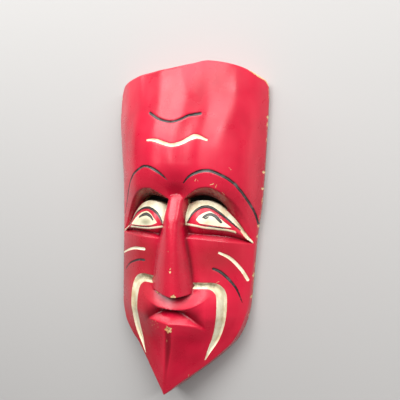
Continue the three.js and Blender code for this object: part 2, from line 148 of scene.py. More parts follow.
TOP_EDGE = line(
    (-79, 157), (-60, 159.5), (-35, 161.5), (-10, 164.5), (12, 168.5), (28, 171.5), (57, 169), (82, 161)
)


def half_width(x, y):
    """Width from the middle to the side, without the rounded top corners."""
    right = RIGHT_EDGE(np.minimum(y, RIGHT_ROUNDS_FROM))
    left = LEFT_EDGE(np.minimum(y, LEFT_ROUNDS_FROM))
    return np.where(x >= 0, right, left)


def from_edge(edge, x, y):
    """How far a point lies inside one side edge, square to that edge."""
    run = (edge(y + 1) - edge(y - 1)) / 2
    return (edge(y) - x) / np.sqrt(1 + run * run)


widths = [round(float(LEFT_EDGE(y) + RIGHT_EDGE(y))) for y in (60, -124)]
print("width at the brow and at the jaw, mm:", widths)

# %% [markdown]
# ## The large forms
# First the block is rounded: the forehead and the cheeks are vaults that turn down to the sides, and
# the chin is two flat facets that meet on a keel. A height above the bench for each point of the face
# is enough for all of this, because the chisel only ever cut from the front.
# %% Forehead, cheeks and chin
FOREHEAD_HEIGHT = line((28, 60), (42, 62.5), (60, 64), (80, 63.5), (110, 61), (150, 57), (180, 52))
CHEEK_HEIGHT = line(
    (-195, 42), (-180, 46), (-128, 57), (-110, 60), (-97, 60.5), (-85, 57.5), (-75, 54),
    (-60, 49), (-38, 47.5), (-12, 48.5), (45, 50),
)
EDGE_HEIGHT = line((-95, 10), (-60, 9), (60, 8), (180, 6))
FOREHEAD_VAULT = 2.6
CHEEK_VAULT = 2.2
VAULT_END = 1.3
BROW_DENT_HALF = 21
BROW_DENT_DEPTH = 5.5
NOSE_ROOT_HALF = 12
NOSE_ROOT_DEPTH = 4
KEEL_SLOPE = 0.58
CHIN_LEAN = -7.5


def vault(x, y, half, middle, fullness):
    """A rounded cross-section from the height of the middle down to the edge."""
    return middle - (middle - EDGE_HEIGHT(y)) * np.clip(abs(x) / half, 0, VAULT_END) ** fullness


def forehead(x, y, half):
    """The vault above the eyes, dented between the brows and at the root of the nose."""
    rounded = vault(x, y, half, FOREHEAD_HEIGHT(y), FOREHEAD_VAULT)
    dent = BROW_DENT_DEPTH * np.exp(-((x / BROW_DENT_HALF) ** 2)) * smooth(66, 36, y)
    nose_root = NOSE_ROOT_DEPTH * np.exp(-((x / NOSE_ROOT_HALF) ** 2)) * smooth(48, 32, y)
    return rounded - dent - nose_root


def cheek(x, y, half):
    """The vault below the eyes, which turns into the two facets of the chin."""
    middle = CHEEK_HEIGHT(y)
    rounded = vault(x, y, half, middle, CHEEK_VAULT)
    keel_x = CHIN_LEAN * smooth(-100, -190, y)
    facets = middle + 0.6 - KEEL_SLOPE * np.sqrt((x - keel_x) ** 2 + 1)
    face = mix(rounded, facets, smooth(-76, -124, y))
    inside = np.minimum(from_edge(RIGHT_EDGE, x, y), from_edge(LEFT_EDGE, -x, y))
    return soft_min(face, 5 + 4 * inside, 1.5)


print("middle of the forehead, upwards, mm:", [round(float(FOREHEAD_HEIGHT(y)), 1) for y in (40, 80, 160)])
print("middle of the cheeks, downwards, mm:", [round(float(CHEEK_HEIGHT(y)), 1) for y in (-12, -97, -190)])

# %% [markdown]
# ## Mouth
# Under the nose a raised collar runs across like a drawn-back upper lip, higher at both sides. Below
# it the wood is cut away steeply, and the lower lip stands out again as a small beak with a flat front.
# %% Lines of the mouth
COLLAR_Y = -85
COLLAR_HALF = 42
COLLAR_RISE = 18
COLLAR_HEIGHT = 2
COLLAR_FADE = 14
MOUTH_Y = -87.5
MOUTH_HALF = 34
MOUTH_DROP = 19
MOUTH_DEPTH = 9.5
LEFT_MOUTH_HALF = 25
LIP_Y = -99
LIP_DROP = 7
LIP_HEIGHT = 1.6
LIP_FADE = 16


def collar_line(x):
    """The lower edge of the collar, which climbs to both sides."""
    return COLLAR_Y + COLLAR_RISE * (abs(x) / COLLAR_HALF) ** 2.6


def mouth_line(x):
    """The dark line between the lips, which drops to both sides."""
    return MOUTH_Y - MOUTH_DROP * (abs(x) / MOUTH_HALF) ** 1.8


def valley(x, y):
    """The shaded slope between the collar and the lower lip, from 0 to 1."""
    down = np.clip((collar_line(x) + 1 - y) / np.maximum(collar_line(x) - mouth_line(x), 2.5), 0, 1)
    return smooth(0.1, 0.7, down) * smooth(-1, 1, y - mouth_line(x)) * smooth(36, 24, abs(x))


print("collar stands out, mouth is sunk, mm:", COLLAR_HEIGHT, MOUTH_DEPTH)

# %% [markdown]
# ### Height of the mouth
# The mouth is a height to be added to the face, so that it follows the vault under it. Between the
# lines above, the height runs from the collar down to the bottom of the mouth and up to the lip. The
# left half of the mouth is narrower than the right.
# %% Mouth
def hump(x, half):
    """1 in the middle, falling to 0 at half."""
    return np.maximum(1 - (x / half) ** 2, 0)


def mouth(x, y):
    """Height added to the face: the collar, the sunk mouth and the lower lip."""
    ax = abs(x)
    side = np.where(x < 0, ax * MOUTH_HALF / LEFT_MOUTH_HALF, ax)
    collar_y = collar_line(x)
    mouth_y = mouth_line(x)
    lip_y = np.where(x < 0, LIP_Y, LIP_Y - LIP_DROP * (ax / MOUTH_HALF) ** 2.5)
    collar = COLLAR_HEIGHT * hump(ax, COLLAR_HALF + 2)
    sunk = -MOUTH_DEPTH * hump(side, MOUTH_HALF + 1.5)
    lip = LIP_HEIGHT * hump(side, MOUTH_HALF)
    above = collar * np.maximum(1 - (y - collar_y) / COLLAR_FADE, 0)
    into = np.clip((collar_y - y) / np.maximum(collar_y - mouth_y, 0.5), 0, 1) ** 0.8
    out = np.clip((mouth_y - y) / np.maximum(mouth_y - lip_y, 0.5), 0, 1)
    low = np.minimum(lip_y, mouth_y)
    relief = np.where(y <= collar_y, mix(collar, sunk, into), above)
    relief = np.where(y <= mouth_y, mix(sunk, lip, out), relief)
    relief = np.where(y <= low, lip * np.maximum(1 - (low - y) / LIP_FADE, 0), relief)
    return relief * smooth(COLLAR_HALF + 2, MOUTH_HALF, ax)


across_mouth = mouth(np.array([-20.0, 0, 20]), np.full(3, -92.0))
print("height across the mouth, left to right, mm:", across_mouth.round(1))

# %% [markdown]
# ## Eye sockets
# Each socket is cut in five bands, from below: a ledge, an undercut below the lid, the domed eye, a
# narrow seat where the wearer's slit goes through, and the sloping roof under the brow. Every band ends
# on one of the lines below, given by distance from the middle, so the edges stay clean.
# %% Lines of the eyes
RIGHT_EYE = {
    "socket_top": line(
        (6, 27), (13, 33.5), (20, 38.5), (27, 42), (34, 42.8), (42, 40.2), (51, 34.5), (60, 26), (67, 15),
        (73, 1), (78, -15),
    ),
    "slit_top": line(
        (8, 30), (14, 32), (20, 34), (27, 34.6), (34, 33.2), (41, 30), (47, 25), (54, 16.8), (62, 6.5),
        (70, -6), (77, -15.5),
    ),
    "eye_top": line(
        (8, 22.8), (14, 26), (22, 28.4), (30, 28.8), (38, 26.5), (45, 22.5), (53, 15.3), (61, 6), (69, -5),
        (77, -15.6),
    ),
    "eye_bottom": line(
        (8, 3.2), (21, 2.3), (31, 0.7), (41, 0), (50, -1), (60, -3.5), (70, -10), (77, -15.8),
    ),
    "ledge_top": line((8, -6.4), (26, -6.8), (40, -7.4), (55, -9), (66, -12), (77, -16)),
    "ledge_bottom": line((8, -10.8), (20, -11.4), (40, -13), (50, -14), (64, -15.6), (78, -16.8)),
    "slit": (8.5, 50),
}
LEFT_EYE = {
    "socket_top": line(
        (6, 27), (13, 31.5), (21, 36.5), (29, 39.6), (37, 39), (46, 34.5), (55, 25.6), (63, 13.2), (71, -2),
        (78, -12),
    ),
    "slit_top": line(
        (8, 25.5), (14, 27.8), (19, 29.9), (25, 31.6), (33, 32.3), (40, 30.7), (46, 26.6), (54, 18.5),
        (62, 8.5), (69, -3), (77, -12.4),
    ),
    "eye_top": line(
        (8, 19), (13, 20.8), (19, 23), (26, 25), (34, 25.8), (43, 23.4), (52, 16.6), (60, 7), (67, -4),
        (77, -12.5),
    ),
    "eye_bottom": line((8, 0), (20, -1.8), (34, -4.2), (48, -4.8), (60, -5.6), (70, -8.4), (77, -12.6)),
    "ledge_top": line((8, -9.8), (20, -9.6), (32, -8.8), (42, -8.3), (55, -8.4), (67, -9.9), (77, -12.8)),
    "ledge_bottom": line((8, -12.4), (20, -13.6), (34, -14.6), (50, -14.6), (64, -14.2), (78, -13.8)),
    "slit": (13.5, 46),
}
eye_height = RIGHT_EYE["eye_top"](30) - RIGHT_EYE["eye_bottom"](30)
print("right eye is high, mm:", round(float(eye_height), 1))

# %% [markdown]
# ### Cutting the sockets
# The bands are laid over the face one after another, from the brow down, each with its own slope.
# They fade out where the outer corner of the eye comes to a point.
# %% Eye sockets
SOCKET_END = 78
SOCKET_FADE = 14
UNDERCUT = 4.8
LID_HEIGHT = 3
NOSE_SIDE_DEPTH = 6
EYE_DOME = 8
SEAT_DEPTH = 9.5
SEAT_RISE = 5


def eye_line(name, x):
    """Where one of the eye's lines runs at each place across the face."""
    return np.where(x < 0, LEFT_EYE[name](abs(x)), RIGHT_EYE[name](abs(x)))


def share(y, low, high):
    """How far y has climbed from low to high, from 0 to 1."""
    return np.clip((y - low) / np.maximum(high - low, 0.1), 0, 1)


def socket(x, y, face, cheek_z):
    """The face with both sockets cut into it. They are deepest beside the nose."""
    ax = abs(x)
    top, bottom = eye_line("socket_top", x), eye_line("ledge_bottom", x)
    slit, ledge = eye_line("slit_top", x), eye_line("ledge_top", x)
    eye_top, eye_bottom = eye_line("eye_top", x), eye_line("eye_bottom", x)
    fade = smooth(0, SOCKET_FADE, top - bottom)
    deep = NOSE_SIDE_DEPTH * (1 - smooth(8, 28, ax))
    undercut = cheek_z - (UNDERCUT + deep * 0.3) * fade
    lid = cheek_z + (LID_HEIGHT - deep) * fade
    seat = lid - (SEAT_DEPTH - SEAT_RISE * smooth(44, 74, ax)) * fade
    z = mix(seat, face, share(y, slit, top))
    z = np.where(y <= slit, mix(lid - EYE_DOME * fade, seat, share(y, eye_top, slit)), z)
    z = np.where(y <= eye_top, lid - EYE_DOME * share(y, eye_bottom, eye_top) ** 1.8 * fade, z)
    z = np.where(y <= eye_bottom, mix(undercut, lid, share(y, ledge, eye_bottom) ** 0.8), z)
    z = np.where(y <= ledge, mix(face, undercut, share(y, bottom, ledge)), z)
    return np.where((ax > SOCKET_END) | (y <= bottom) | (y >= top), face, z)


print("the seat of the slit lies below the lid, mm:", SEAT_DEPTH)

# %% [markdown]
# ## Nose
# The nose is a long roof with a ridge and a cut-off underside. Near the tip its two sides are nearly
# flat; further up the bridge is broad and flat on top, with steep sides. It was left standing while
# the cheeks were cut back, so here it is a second height, and the higher of the two wins.
# %% Nose
NOSE_TOP = line((-74, 70), (-66, 69.5), (-30, 66), (6, 61.5), (20, 57.5), (32, 53.5), (38, 48), (44, 42))
NOSE_FULLNESS = line((-60, 1.5), (-24, 1.5), (0, 2.4), (14, 3.8), (44, 4.2))
NOSE_RIDGE = line((-70, 5), (-50, 3.6), (-30, 2), (-10, 0.9), (10, 0), (36, -0.5))
NOSE_MIDDLE = line((-70, -1.6), (-61, -1.6), (-39, -2.5), (-14, -3.6), (0, -3.5), (30, -0.8))
NOSE_HALF = line(
    (-70, 21), (-61, 20.2), (-39, 17.4), (-14, 14), (0, 12), (12, 10.8), (22, 9.9), (36, 9.4),
)
NOSE_FOOT = line((-70, 48), (-20, 47.5), (-8, 46), (4, 44), (20, 43), (44, 38))
UNDERSIDE_Y = -69.5
UNDERSIDE_SLOPE = 6
NOSE_ENDS = (-80, 44)
NO_NOSE = -1000


def nose(x, y):
    """Height of the nose's roof, from its ridge down to its foot on each side."""
    ridge = NOSE_RIDGE(y)
    top = NOSE_TOP(y)
    right = NOSE_MIDDLE(y) + NOSE_HALF(y) - ridge
    left = ridge - NOSE_MIDDLE(y) + NOSE_HALF(y)
    reach = np.where(x >= ridge, right, left)
    off = x - ridge
    underside = UNDERSIDE_Y + 1.5 * np.clip(abs(off) / 20, 0, 1) ** 2
    side = ((np.sqrt(off * off + 5) - 1.4) / reach) ** NOSE_FULLNESS(y)
    roof = top - (top - NOSE_FOOT(y)) * side - UNDERSIDE_SLOPE * np.clip(underside - y, 0, 20)
    outside = (y > NOSE_ENDS[1]) | (y < NOSE_ENDS[0]) | (abs(off) > 1.5 * reach)
    return np.where(outside, NO_NOSE, roof)


print("nose width near the tip and at the bridge, mm:", [round(2 * float(NOSE_HALF(y))) for y in (-61, 12)])

# %% [markdown]
# ## Lines on the face
# The brows, the wrinkles and the moustache all follow drawn lines. One helper turns a few points into
# a smooth path, and another tells every point of the surface how far it is from that path, how far
# along it lies, and on which side. The same distances later place the paint inside the cuts.
# %% Distance from a drawn line
def smooth_path(points, steps=4):
    """A smooth path through all the points, with a few steps between each two."""
    p = np.array(points, float)
    p = np.vstack([2 * p[0] - p[1], p, 2 * p[-1] - p[-2]])
    t = np.arange(steps)[:, None] / steps
    spans = []
    for a, b, c, d in zip(p, p[1:], p[2:], p[3:]):
        bend = (2 * a - 5 * b + 4 * c - d) * t**2
        twist = (3 * b - a - 3 * c + d) * t**3
        spans.append(0.5 * (2 * b + (c - a) * t + bend + twist))
    return np.vstack([*spans, p[-2:-1]])


def to_path(x, y, path):
    """Distance from the path, the place along it from 0 to 1, and the side as 1 or -1."""
    far = np.full(x.shape, 1e9)
    place = np.zeros(x.shape)
    side = np.ones(x.shape)
    for i, (a, b) in enumerate(zip(path, path[1:])):
        dx, dy = b - a
        t = np.clip(((x - a[0]) * dx + (y - a[1]) * dy) / (dx * dx + dy * dy), 0, 1)
        gap_x, gap_y = x - a[0] - dx * t, y - a[1] - dy * t
        gap = np.hypot(gap_x, gap_y)
        near = gap < far
        far = np.where(near, gap, far)
        place = np.where(near, (i + t) / (len(path) - 1), place)
        side = np.where(near, np.where(dx * gap_y - dy * gap_x >= 0, 1, -1), side)
    return far, place, side


print("points on a path through three:", len(smooth_path([(0, 0), (10, 4), (20, 0)])))

# %% [markdown]
# ## Moustache grooves
# Two wide scooped grooves run out from the nose, turn, and taper down to the jaw. Their outer wall is
# steep and their inner wall is gentle, as a gouge leaves them when it is leaned over. The upper part
# of the left groove is a little wider, higher and nearer the nose than that of the right one.
# %% Moustache grooves
GROOVE_PATH = smooth_path([
    (21, -60.5), (31, -60.3), (39, -60.8), (45.5, -64.5), (49, -71), (50, -82), (49.7, -94),
    (47.5, -107), (44, -119), (39, -130), (33.5, -143),
])
GROOVE_HALF = line((0, 3.2), (0.12, 3.2), (0.3, 4.6), (0.45, 4.9), (0.65, 4.5), (0.85, 3), (1, 0.4))
GROOVE_DEPTH = line((0, 3.6), (0.3, 3.5), (0.6, 3), (0.85, 2.2), (1, 0.3))
LEFT_GROOVE_INWARD = 1.2
LEFT_GROOVE_UP = 1.8
LEFT_GROOVE_WIDER = 0.8
GOUGE_LEAN = 0.4


def groove(x, y):
    """Depth of the groove, distance inside its edge, and the place along it and across it."""
    left = np.where(x < 0, smooth(-140, -65, y), 0)
    far, place, side = to_path(abs(x) + LEFT_GROOVE_INWARD * left, y - LEFT_GROOVE_UP * left, GROOVE_PATH)
    half = GROOVE_HALF(place) + np.where(x < 0, LEFT_GROOVE_WIDER * smooth(1, 0.8, place), 0)
    v = side * np.clip(far / half, 0, 1)
    deepest = mix(0, GOUGE_LEAN, smooth(0.2, 0.45, place))
    bowl = np.where(v > deepest, (1 - v) / (1 - deepest), (1 + v) / (1 + deepest))
    depth = GROOVE_DEPTH(place) * np.where(far < half, bowl, 0)
    return depth, half - far, place, v


print("groove width at its turn, mm:", round(2 * float(GROOVE_HALF(0.45)), 1))

# %% [markdown]
# ## Thin cut lines
# The wrinkles, brows and eyelids are cut with a V tool, 2 to 5 mm wide and about 1 mm deep, and painted
# black or cream. The tool was pressed harder in places, so each line has its own swelling.
# Each entry is (half widths from one end to the other, points from one end to the other).
# %% Thin cut lines
BLACK_CUTS = [
    (
        (1.6, 1.2, 1.2, 1.6),
        [(-31, 117.4), (-22, 111.6), (-12.7, 108.3), (-4, 107.7), (4, 110), (12, 114), (23.5, 116)],
    ),
    (
        (0.5, 1.6, 1.3, 1.2, 0.5),
        [(-8, 48.4), (-15, 54.5), (-24.5, 60), (-32.5, 62), (-41, 60), (-58, 46.5), (-76, 8)],
    ),
    (
        (0.6, 1.6, 1.6, 1.4, 0.9),
        [(9, 46), (15, 52.5), (24, 57.4), (32, 59.3), (41, 57.7), (59, 47), (76, 21), (82, 2)],
    ),
    ((0.5, 1.1, 1.3), [(-71, -57), (-62.4, -48.3), (-53.2, -43.4), (-45, -40.6), (-38.5, -40)]),
    (
        (1.3, 1.6, 1.4, 1.1, 0.5),
        [(39.5, -42.4), (45.3, -45), (51.3, -50), (57.3, -56.8), (63.4, -65.8), (69, -80)],
    ),
]
CREAM_CUTS = [
    (
        (0.9, 1.9, 1.7, 1.9, 2.4, 0.9),
        [
            (-32.6, 89.1), (-23, 88.8), (-13, 85.7), (-3.3, 83.7), (7, 86.5), (15, 91), (22, 93),
            (31.7, 89.6),
        ],
    ),
    ((0.9, 1.4, 1.6), [(-77, -38.8), (-63, -32), (-52, -28.8), (-39, -27.8)]),
    (
        (1.1, 1.6, 1.6, 1.5),
        [(44.6, -25.5), (51.4, -28.8), (57.3, -33.2), (63.2, -40), (68.2, -46.9), (73.2, -56)],
    ),
]
LID_CUTS = [
    (
        (0.6, 1.4, 1.4, 1.1, 0.6),
        [
            (11.5, 5.5), (15.5, 14), (22.5, 20.3), (29.8, 22.7), (37, 20.8), (45, 15.4), (53, 8.8),
            (64, -1.3),
        ],
    ),
    (
        (0.6, 1.4, 1.3, 0.9, 0.5),
        [(-16.7, 3.4), (-21.5, 11), (-28, 15.9), (-36.8, 18), (-46, 15.6), (-56, 9), (-64, -4)],
    ),
]
print("thin lines:", len(BLACK_CUTS + CREAM_CUTS + LID_CUTS))

# %% [markdown]
# ### Depth of the cut lines
# The walls of a cut slope at the angle of the tool, so a narrow cut is also a shallow one.
# %% Cutting the thin lines
CUT_DEPTH = 1.1
CUT_WALL = 1.3
FAR_OUTSIDE = -50.0


def inside_cuts(cuts, x, y):
    """How far each point lies inside the nearest of these lines; below zero is outside."""
    inside = np.full(x.shape, FAR_OUTSIDE)
    for halves, points in cuts:
        far, place, _ = to_path(x, y, smooth_path(points, 3))
        half = np.interp(place, np.linspace(0, 1, len(halves)), halves)
        inside = np.maximum(inside, half - far)
    return inside


def cut_depth(x, y):
    inside = inside_cuts(BLACK_CUTS + CREAM_CUTS + LID_CUTS, x, y)
    return CUT_DEPTH * np.clip(inside / CUT_WALL, 0, 1)


print("deepest cut, mm:", CUT_DEPTH)

# %% [markdown]
# ## Chips
# Below the lower lip a chip is lost down to the bare wood, and the nose tip and the edges are chipped
# as well. A chip breaks along the fibres, so its edge is ragged. Chips are (x, y, radius, depth).
# %% Chips
CHIPS = [
    (-0.2, -105.1, 3.6, 1.1),
    (6.2, -68.6, 2.4, 0.9),
    (-17, -69.8, 1.5, 0.6),
    (-9.5, -70.6, 1.3, 0.5),
    (1.3, -44, 1.2, 0.4),
    (84.5, 62, 1.5, 0.8),
    (84, 44, 1.3, 0.7),
    (82, 3, 1.9, 1),
    (81, -9, 1.6, 0.9),
    (79, -52, 1.8, 1),
    (77.6, -76, 1.6, 0.8),
    (86, 122, 1.6, 0.8),
    (-88.5, 128, 1.8, 0.9),
    (-87, 144, 1.6, 0.8),
    (-79, -44, 1.4, 0.8),
    (-79, 6, 1.4, 0.8),
    (-56, -132, 1.6, 0.8),
    (-1.5, -186, 2.4, 0.8),
]


def ragged(x, y, reach):
    """A rough-edged radius, so a chip is not a perfect disc."""
    turn = np.arctan2(y, x)
    return reach * (1 + 0.22 * np.sin(5 * turn + 3 * reach) + 0.12 * np.sin(9 * turn + reach))


def inside_chips(x, y):
    """How far each point lies inside the nearest chip."""
    inside = np.full(x.shape, FAR_OUTSIDE)
    for chip_x, chip_y, reach, _ in CHIPS:
        gap = np.hypot(x - chip_x, y - chip_y)
        inside = np.maximum(inside, ragged(x - chip_x, y - chip_y, reach) - gap)
    return inside


def chip_depth(x, y):
    depth = np.zeros(x.shape)
    for chip_x, chip_y, reach, deep in CHIPS:
        gap = np.hypot(x - chip_x, y - chip_y) / ragged(x - chip_x, y - chip_y, reach)
        depth = np.maximum(depth, deep * smooth(1, 0.3, gap))
    return depth


print("chips:", len(CHIPS))

# %% [markdown]
# ## Chin flute and knife flats
# A shallow flute runs down the keel of the chin from the lip and narrows as it goes. And a hand-carved
# surface is never a true vault: long flats from the knife run down the forehead and cheeks, only a few
# tenths of a millimetre high, and they break the gloss into soft bands.
# %% Flute and knife flats
FLUTE_DEPTH = 1.5
FLAT_HEIGHT = 0.3
FLAT_SPACING = 3.9
CROSS_HEIGHT = 0.16


def flute_shape(x, y):
    """The narrow hollow strip down the keel, from 0 to 1."""
    half = mix(1.6, 3.9, smooth(-166, -112, y))
    middle = mix(-6.4, -1, smooth(-190, -112, y))
    return np.clip(1 - ((x - middle) / half) ** 2, 0, 1) ** 0.6 * smooth(-106, -109, y)


def flute_depth(x, y):
    return FLUTE_DEPTH * flute_shape(x, y) * mix(0.2, 1, smooth(-172, -136, y))


def knife_flats(x, y):
    """Long flats that wander a little as they run down the face."""
    drift = 4 * np.sin(y / 31) + 2.5 * np.sin(y / 13 + 1)
    long_flats = FLAT_HEIGHT * np.cos((x + drift) / FLAT_SPACING)
    cross = CROSS_HEIGHT * np.sin(y / 8.5 + 1.3 * np.sin(x / 17)) * np.sin(x / 11 + y / 40)
    return (long_flats + cross) * mix(0.45, 1, smooth(20, 70, y))


print("knife flats stand out by up to, mm:", round(FLAT_HEIGHT + CROSS_HEIGHT, 2))

# %% [markdown]
# ## The whole face
# The parts are put together in the carver's order: large forms, mouth, sockets, grooves, nose, and
# last the thin lines and the marks of use.
# %% Height of the face
NOSE_BLEND = 1.2


def carved_height(x, y):
    """The face without its nose."""
    half = half_width(x, y)
    cheek_z = cheek(x, y, half)
    face = mix(cheek_z, forehead(x, y, half), smooth(-15, 45, y)) + mouth(x, y)
    return socket(x, y, face, cheek_z) - groove(x, y)[0]


def face_height(x, y):
    return soft_max(carved_height(x, y), nose(x, y), NOSE_BLEND)


def finished_height(x, y):
    marks = cut_depth(x, y) + chip_depth(x, y) + flute_depth(x, y)
    return face_height(x, y) + knife_flats(x, y) - marks


heights = face_height(np.zeros(4), np.array([100.0, 0, -60, -150]))
print("forehead, bridge, nose tip and chin, mm:", heights.round(1))

# %% [markdown]
# ## The hollow back
# Nobody sees the back of a mask in use, but the hollow makes it light. It was gouged out to leave a
# flat rim round the edge and a wall about as thick as a thumb.
# %% Hollow
RIM_WIDTH = 11
TOP_RIM_WIDTH = 12
HOLLOW_JAW_UP = 3
HOLLOW_DEPTH = line(
    (-172, 20), (-130, 29), (-90, 33), (-60, 33), (-20, 29), (30, 27), (50, 35), (70, 44), (110, 46),
    (160, 40),
)
HOLLOW_ROUND_ACROSS = 2.6
HOLLOW_ROUND_ALONG = 10


def hollow_height(s, t, y):
    """Height of the hollow, for shares s across it and t up it."""
    across = 1 - abs(2 * s - 1) ** HOLLOW_ROUND_ACROSS
    along = 1 - abs(2 * t - 1) ** HOLLOW_ROUND_ALONG
    return HOLLOW_DEPTH(y) * across * along


print("deepest under the forehead and the nose, mm:", float(HOLLOW_DEPTH(110)), float(HOLLOW_DEPTH(-60)))

# %% [markdown]
# ## A grid of small squares
# The surface is a grid of small squares. The rows are closer where the eyes, nose and mouth are, and
# the outermost rows and columns are finer still, for a rounded edge. Sculpting would give the same
# look, but a grid keeps every cut at its measured place.
# %% Spacing of the grid
COLUMNS = 192
ROWS = 384
COARSE = 4
EDGE_STEPS = [0, 0.18, 0.5, 0.95, 1.5]
FACE_WIDTH = 168
FACE_LENGTH = 340
MORE_ROWS = 0.6


def edge_finer(count, length, density):
    """Places from 0 to 1, with a few fine steps at both ends and a given density between them."""
    ends = np.array(EDGE_STEPS) / length
    inner = count - 2 * (len(ends) - 1)
    fine = np.linspace(ends[-1], 1 - ends[-1], 4001)
    filled = np.concatenate([[0], np.cumsum(density(fine[:-1] + fine[1:]))])
    middle = np.interp(np.linspace(0, filled[-1], inner + 1), filled, fine)
    return np.concatenate([ends[:-1], middle, 1 - ends[:-1][::-1]])


def row_density(v):
    """More rows where the mouth, nose and eyes are. v is twice the share up the face."""
    return 1 + MORE_ROWS * smooth(0.36, 0.5, v) * smooth(1.5, 1.36, v)


across = edge_finer(COLUMNS, FACE_WIDTH, np.ones_like)
upward = edge_finer(ROWS, FACE_LENGTH, row_density)
S, T = np.meshgrid(across, upward)
print("squares across and up:", COLUMNS, ROWS)

# %% [markdown]
# ### Stretching the grid over the outline
# The grid is stretched between the four edges of the outline, so its border is clean without
# trimming. The hollow behind gets a coarser grid, stretched over the outline less the rim.
# %% Grid over the outline
def between(edge, left, right, s):
    """An edge line moved so that it ends at two given corners."""
    x = mix(left[0], right[0], s)
    off_left = left[1] - edge(left[0])
    off_right = right[1] - edge(right[0])
    return x, edge(x) + mix(off_left, off_right, s)


def spread(s, t, left_at, right_at):
    """Points of the plan: s runs from the left edge to the right, t from the jaw to the top."""
    left, right = left_at(t), right_at(t)
    left_0, left_1, right_0, right_1 = left_at(0.0), left_at(1.0), right_at(0.0), right_at(1.0)
    top = between(TOP_EDGE, left_1, right_1, s)
    foot = between(CHIN_EDGE, left_0, right_0, s)
    plan = []
    for k in (0, 1):
        low = mix(left_0[k], right_0[k], s)
        high = mix(left_1[k], right_1[k], s)
        rows = mix(foot[k], top[k], t) + mix(left[k], right[k], s)
        plan.append(rows - mix(low, high, t))
    return plan


def outer_side(edge, sign, low, high):
    """One side of the outline, as a function of the share from low (0) to high (1)."""
    def at(v):
        y = mix(low, high, v)
        return sign * edge(y), y

    return at


def inner_side(edge, sign, low, high):
    """The same side moved in by the width of the rim."""
    def at(v):
        y = mix(low, high, v)
        run = (edge(y + 1) - edge(y - 1)) / 2
        return sign * (edge(y) - RIM_WIDTH * np.sqrt(1 + run * run)), y

    return at


def outer_plan(s, t):
    left_at = outer_side(LEFT_EDGE, -1, LEFT_JAW_Y, LEFT_CORNER_Y)
    right_at = outer_side(RIGHT_EDGE, 1, RIGHT_JAW_Y, RIGHT_CORNER_Y)
    return spread(s, t, left_at, right_at)


def hollow_plan(s, t):
    left_at = inner_side(LEFT_EDGE, -1, LEFT_JAW_Y + HOLLOW_JAW_UP, LEFT_CORNER_Y - TOP_RIM_WIDTH)
    right_at = inner_side(RIGHT_EDGE, 1, RIGHT_JAW_Y + HOLLOW_JAW_UP, RIGHT_CORNER_Y - TOP_RIM_WIDTH)
    return spread(s, t, left_at, right_at)


front_x, front_y = outer_plan(S, T)
row_heights = np.diff(front_y[:, COLUMNS // 2])
print("finest and widest row, mm:", row_heights.min().round(2), row_heights.max().round(2))

# %% [markdown]
# ## Closing the body
# The front, the upright side, the flat rim and the hollow are joined into one closed skin. A closed
# skin has a true thickness, so the slits can be cut through it and it can be weighed or printed.
# These helpers list the corners of the faces, always anticlockwise as seen from outside.
# %% Faces of the skin
JAW_SLANT = 0.75
EDGE_RADIUS = 1.5
RIM_RADIUS = 0.8
SIDE_HEIGHTS = [0.75, 0.5, 0.25]


def round_over(distance, radius):
    """How far the surface drops near an edge rounded to this radius."""
    inward = np.clip(distance, 0, radius)
    return radius - np.sqrt(np.maximum(radius**2 - (radius - inward) ** 2, 0))


def border_indices(columns, rows):
    """The grid's outer points in order, anticlockwise from the lower left."""
    index = np.arange((columns + 1) * (rows + 1)).reshape(rows + 1, columns + 1)
    return np.concatenate([index[0, :-1], index[:-1, -1], index[-1, :0:-1], index[:0:-1, 0]])


def grid_faces(columns, rows, start, flip):
    """Squares of a grid whose points are numbered from start; flip turns them to face down."""
    index = start + np.arange((columns + 1) * (rows + 1)).reshape(rows + 1, columns + 1)
    corners = [index[:-1, :-1], index[:-1, 1:], index[1:, 1:], index[1:, :-1]]
    faces = np.stack([c.ravel() for c in corners], -1)
    return (faces[:, ::-1] if flip else faces).tolist()


def band_faces(upper, lower):
    """A band of squares between two rings of the same length, the upper ring first."""
    after = [*range(1, len(upper)), 0]
    return [(upper[i], lower[i], lower[j], upper[j]) for i, j in enumerate(after)]


def rim_faces(outer, inner):
    """The flat rim: each coarse step of the hollow meets several fine steps of the outline."""
    faces = []
    for i in range(len(inner)):
        span = [outer[(COARSE * i + k) % len(outer)] for k in range(COARSE + 1)]
        faces.append([*span[::-1], inner[i], inner[(i + 1) % len(inner)]])
    return faces


print("faces in the front grid:", COLUMNS * ROWS, "and in the hollow:", COLUMNS * ROWS // COARSE**2)

# %% [markdown]
# ### Front, sides, rim and hollow
# Each part of the skin starts from the ring of points that the part before it ended with, so there
# is no seam to weld. The side wall stands upright from the rim, which is slightly rounded outside.
# %% Closed skin
def front_skin():
    row_length = np.hypot(front_x[:, -1:] - front_x[:, :1], front_y[:, -1:] - front_y[:, :1])
    column_length = front_y[-1:] - front_y[:1]
    from_sides = np.minimum(S, 1 - S) * row_length
    from_ends = np.minimum(T * JAW_SLANT, 1 - T) * column_length
    drop = round_over(np.minimum(from_sides, from_ends), EDGE_RADIUS)
    height = finished_height(front_x, front_y) - drop
    return np.stack([front_x, front_y, height], -1).reshape(-1, 3)


def side_rings(border):
    """Rings of points down the upright side, then round the outer corner of the rim."""
    outward = np.roll(border, 1, 0) - np.roll(border, -1, 0)
    inward = np.stack([outward[:, 1], -outward[:, 0]], -1)
    inward /= np.linalg.norm(inward, axis=1, keepdims=True)
    rings = []
    for share_left in SIDE_HEIGHTS:
        rings.append(border * (1, 1, share_left))
    foot = border * (1, 1, 0) + (0, 0, RIM_RADIUS)
    rim = border * (1, 1, 0)
    rim[:, :2] += inward * RIM_RADIUS
    return [*rings, foot, rim]


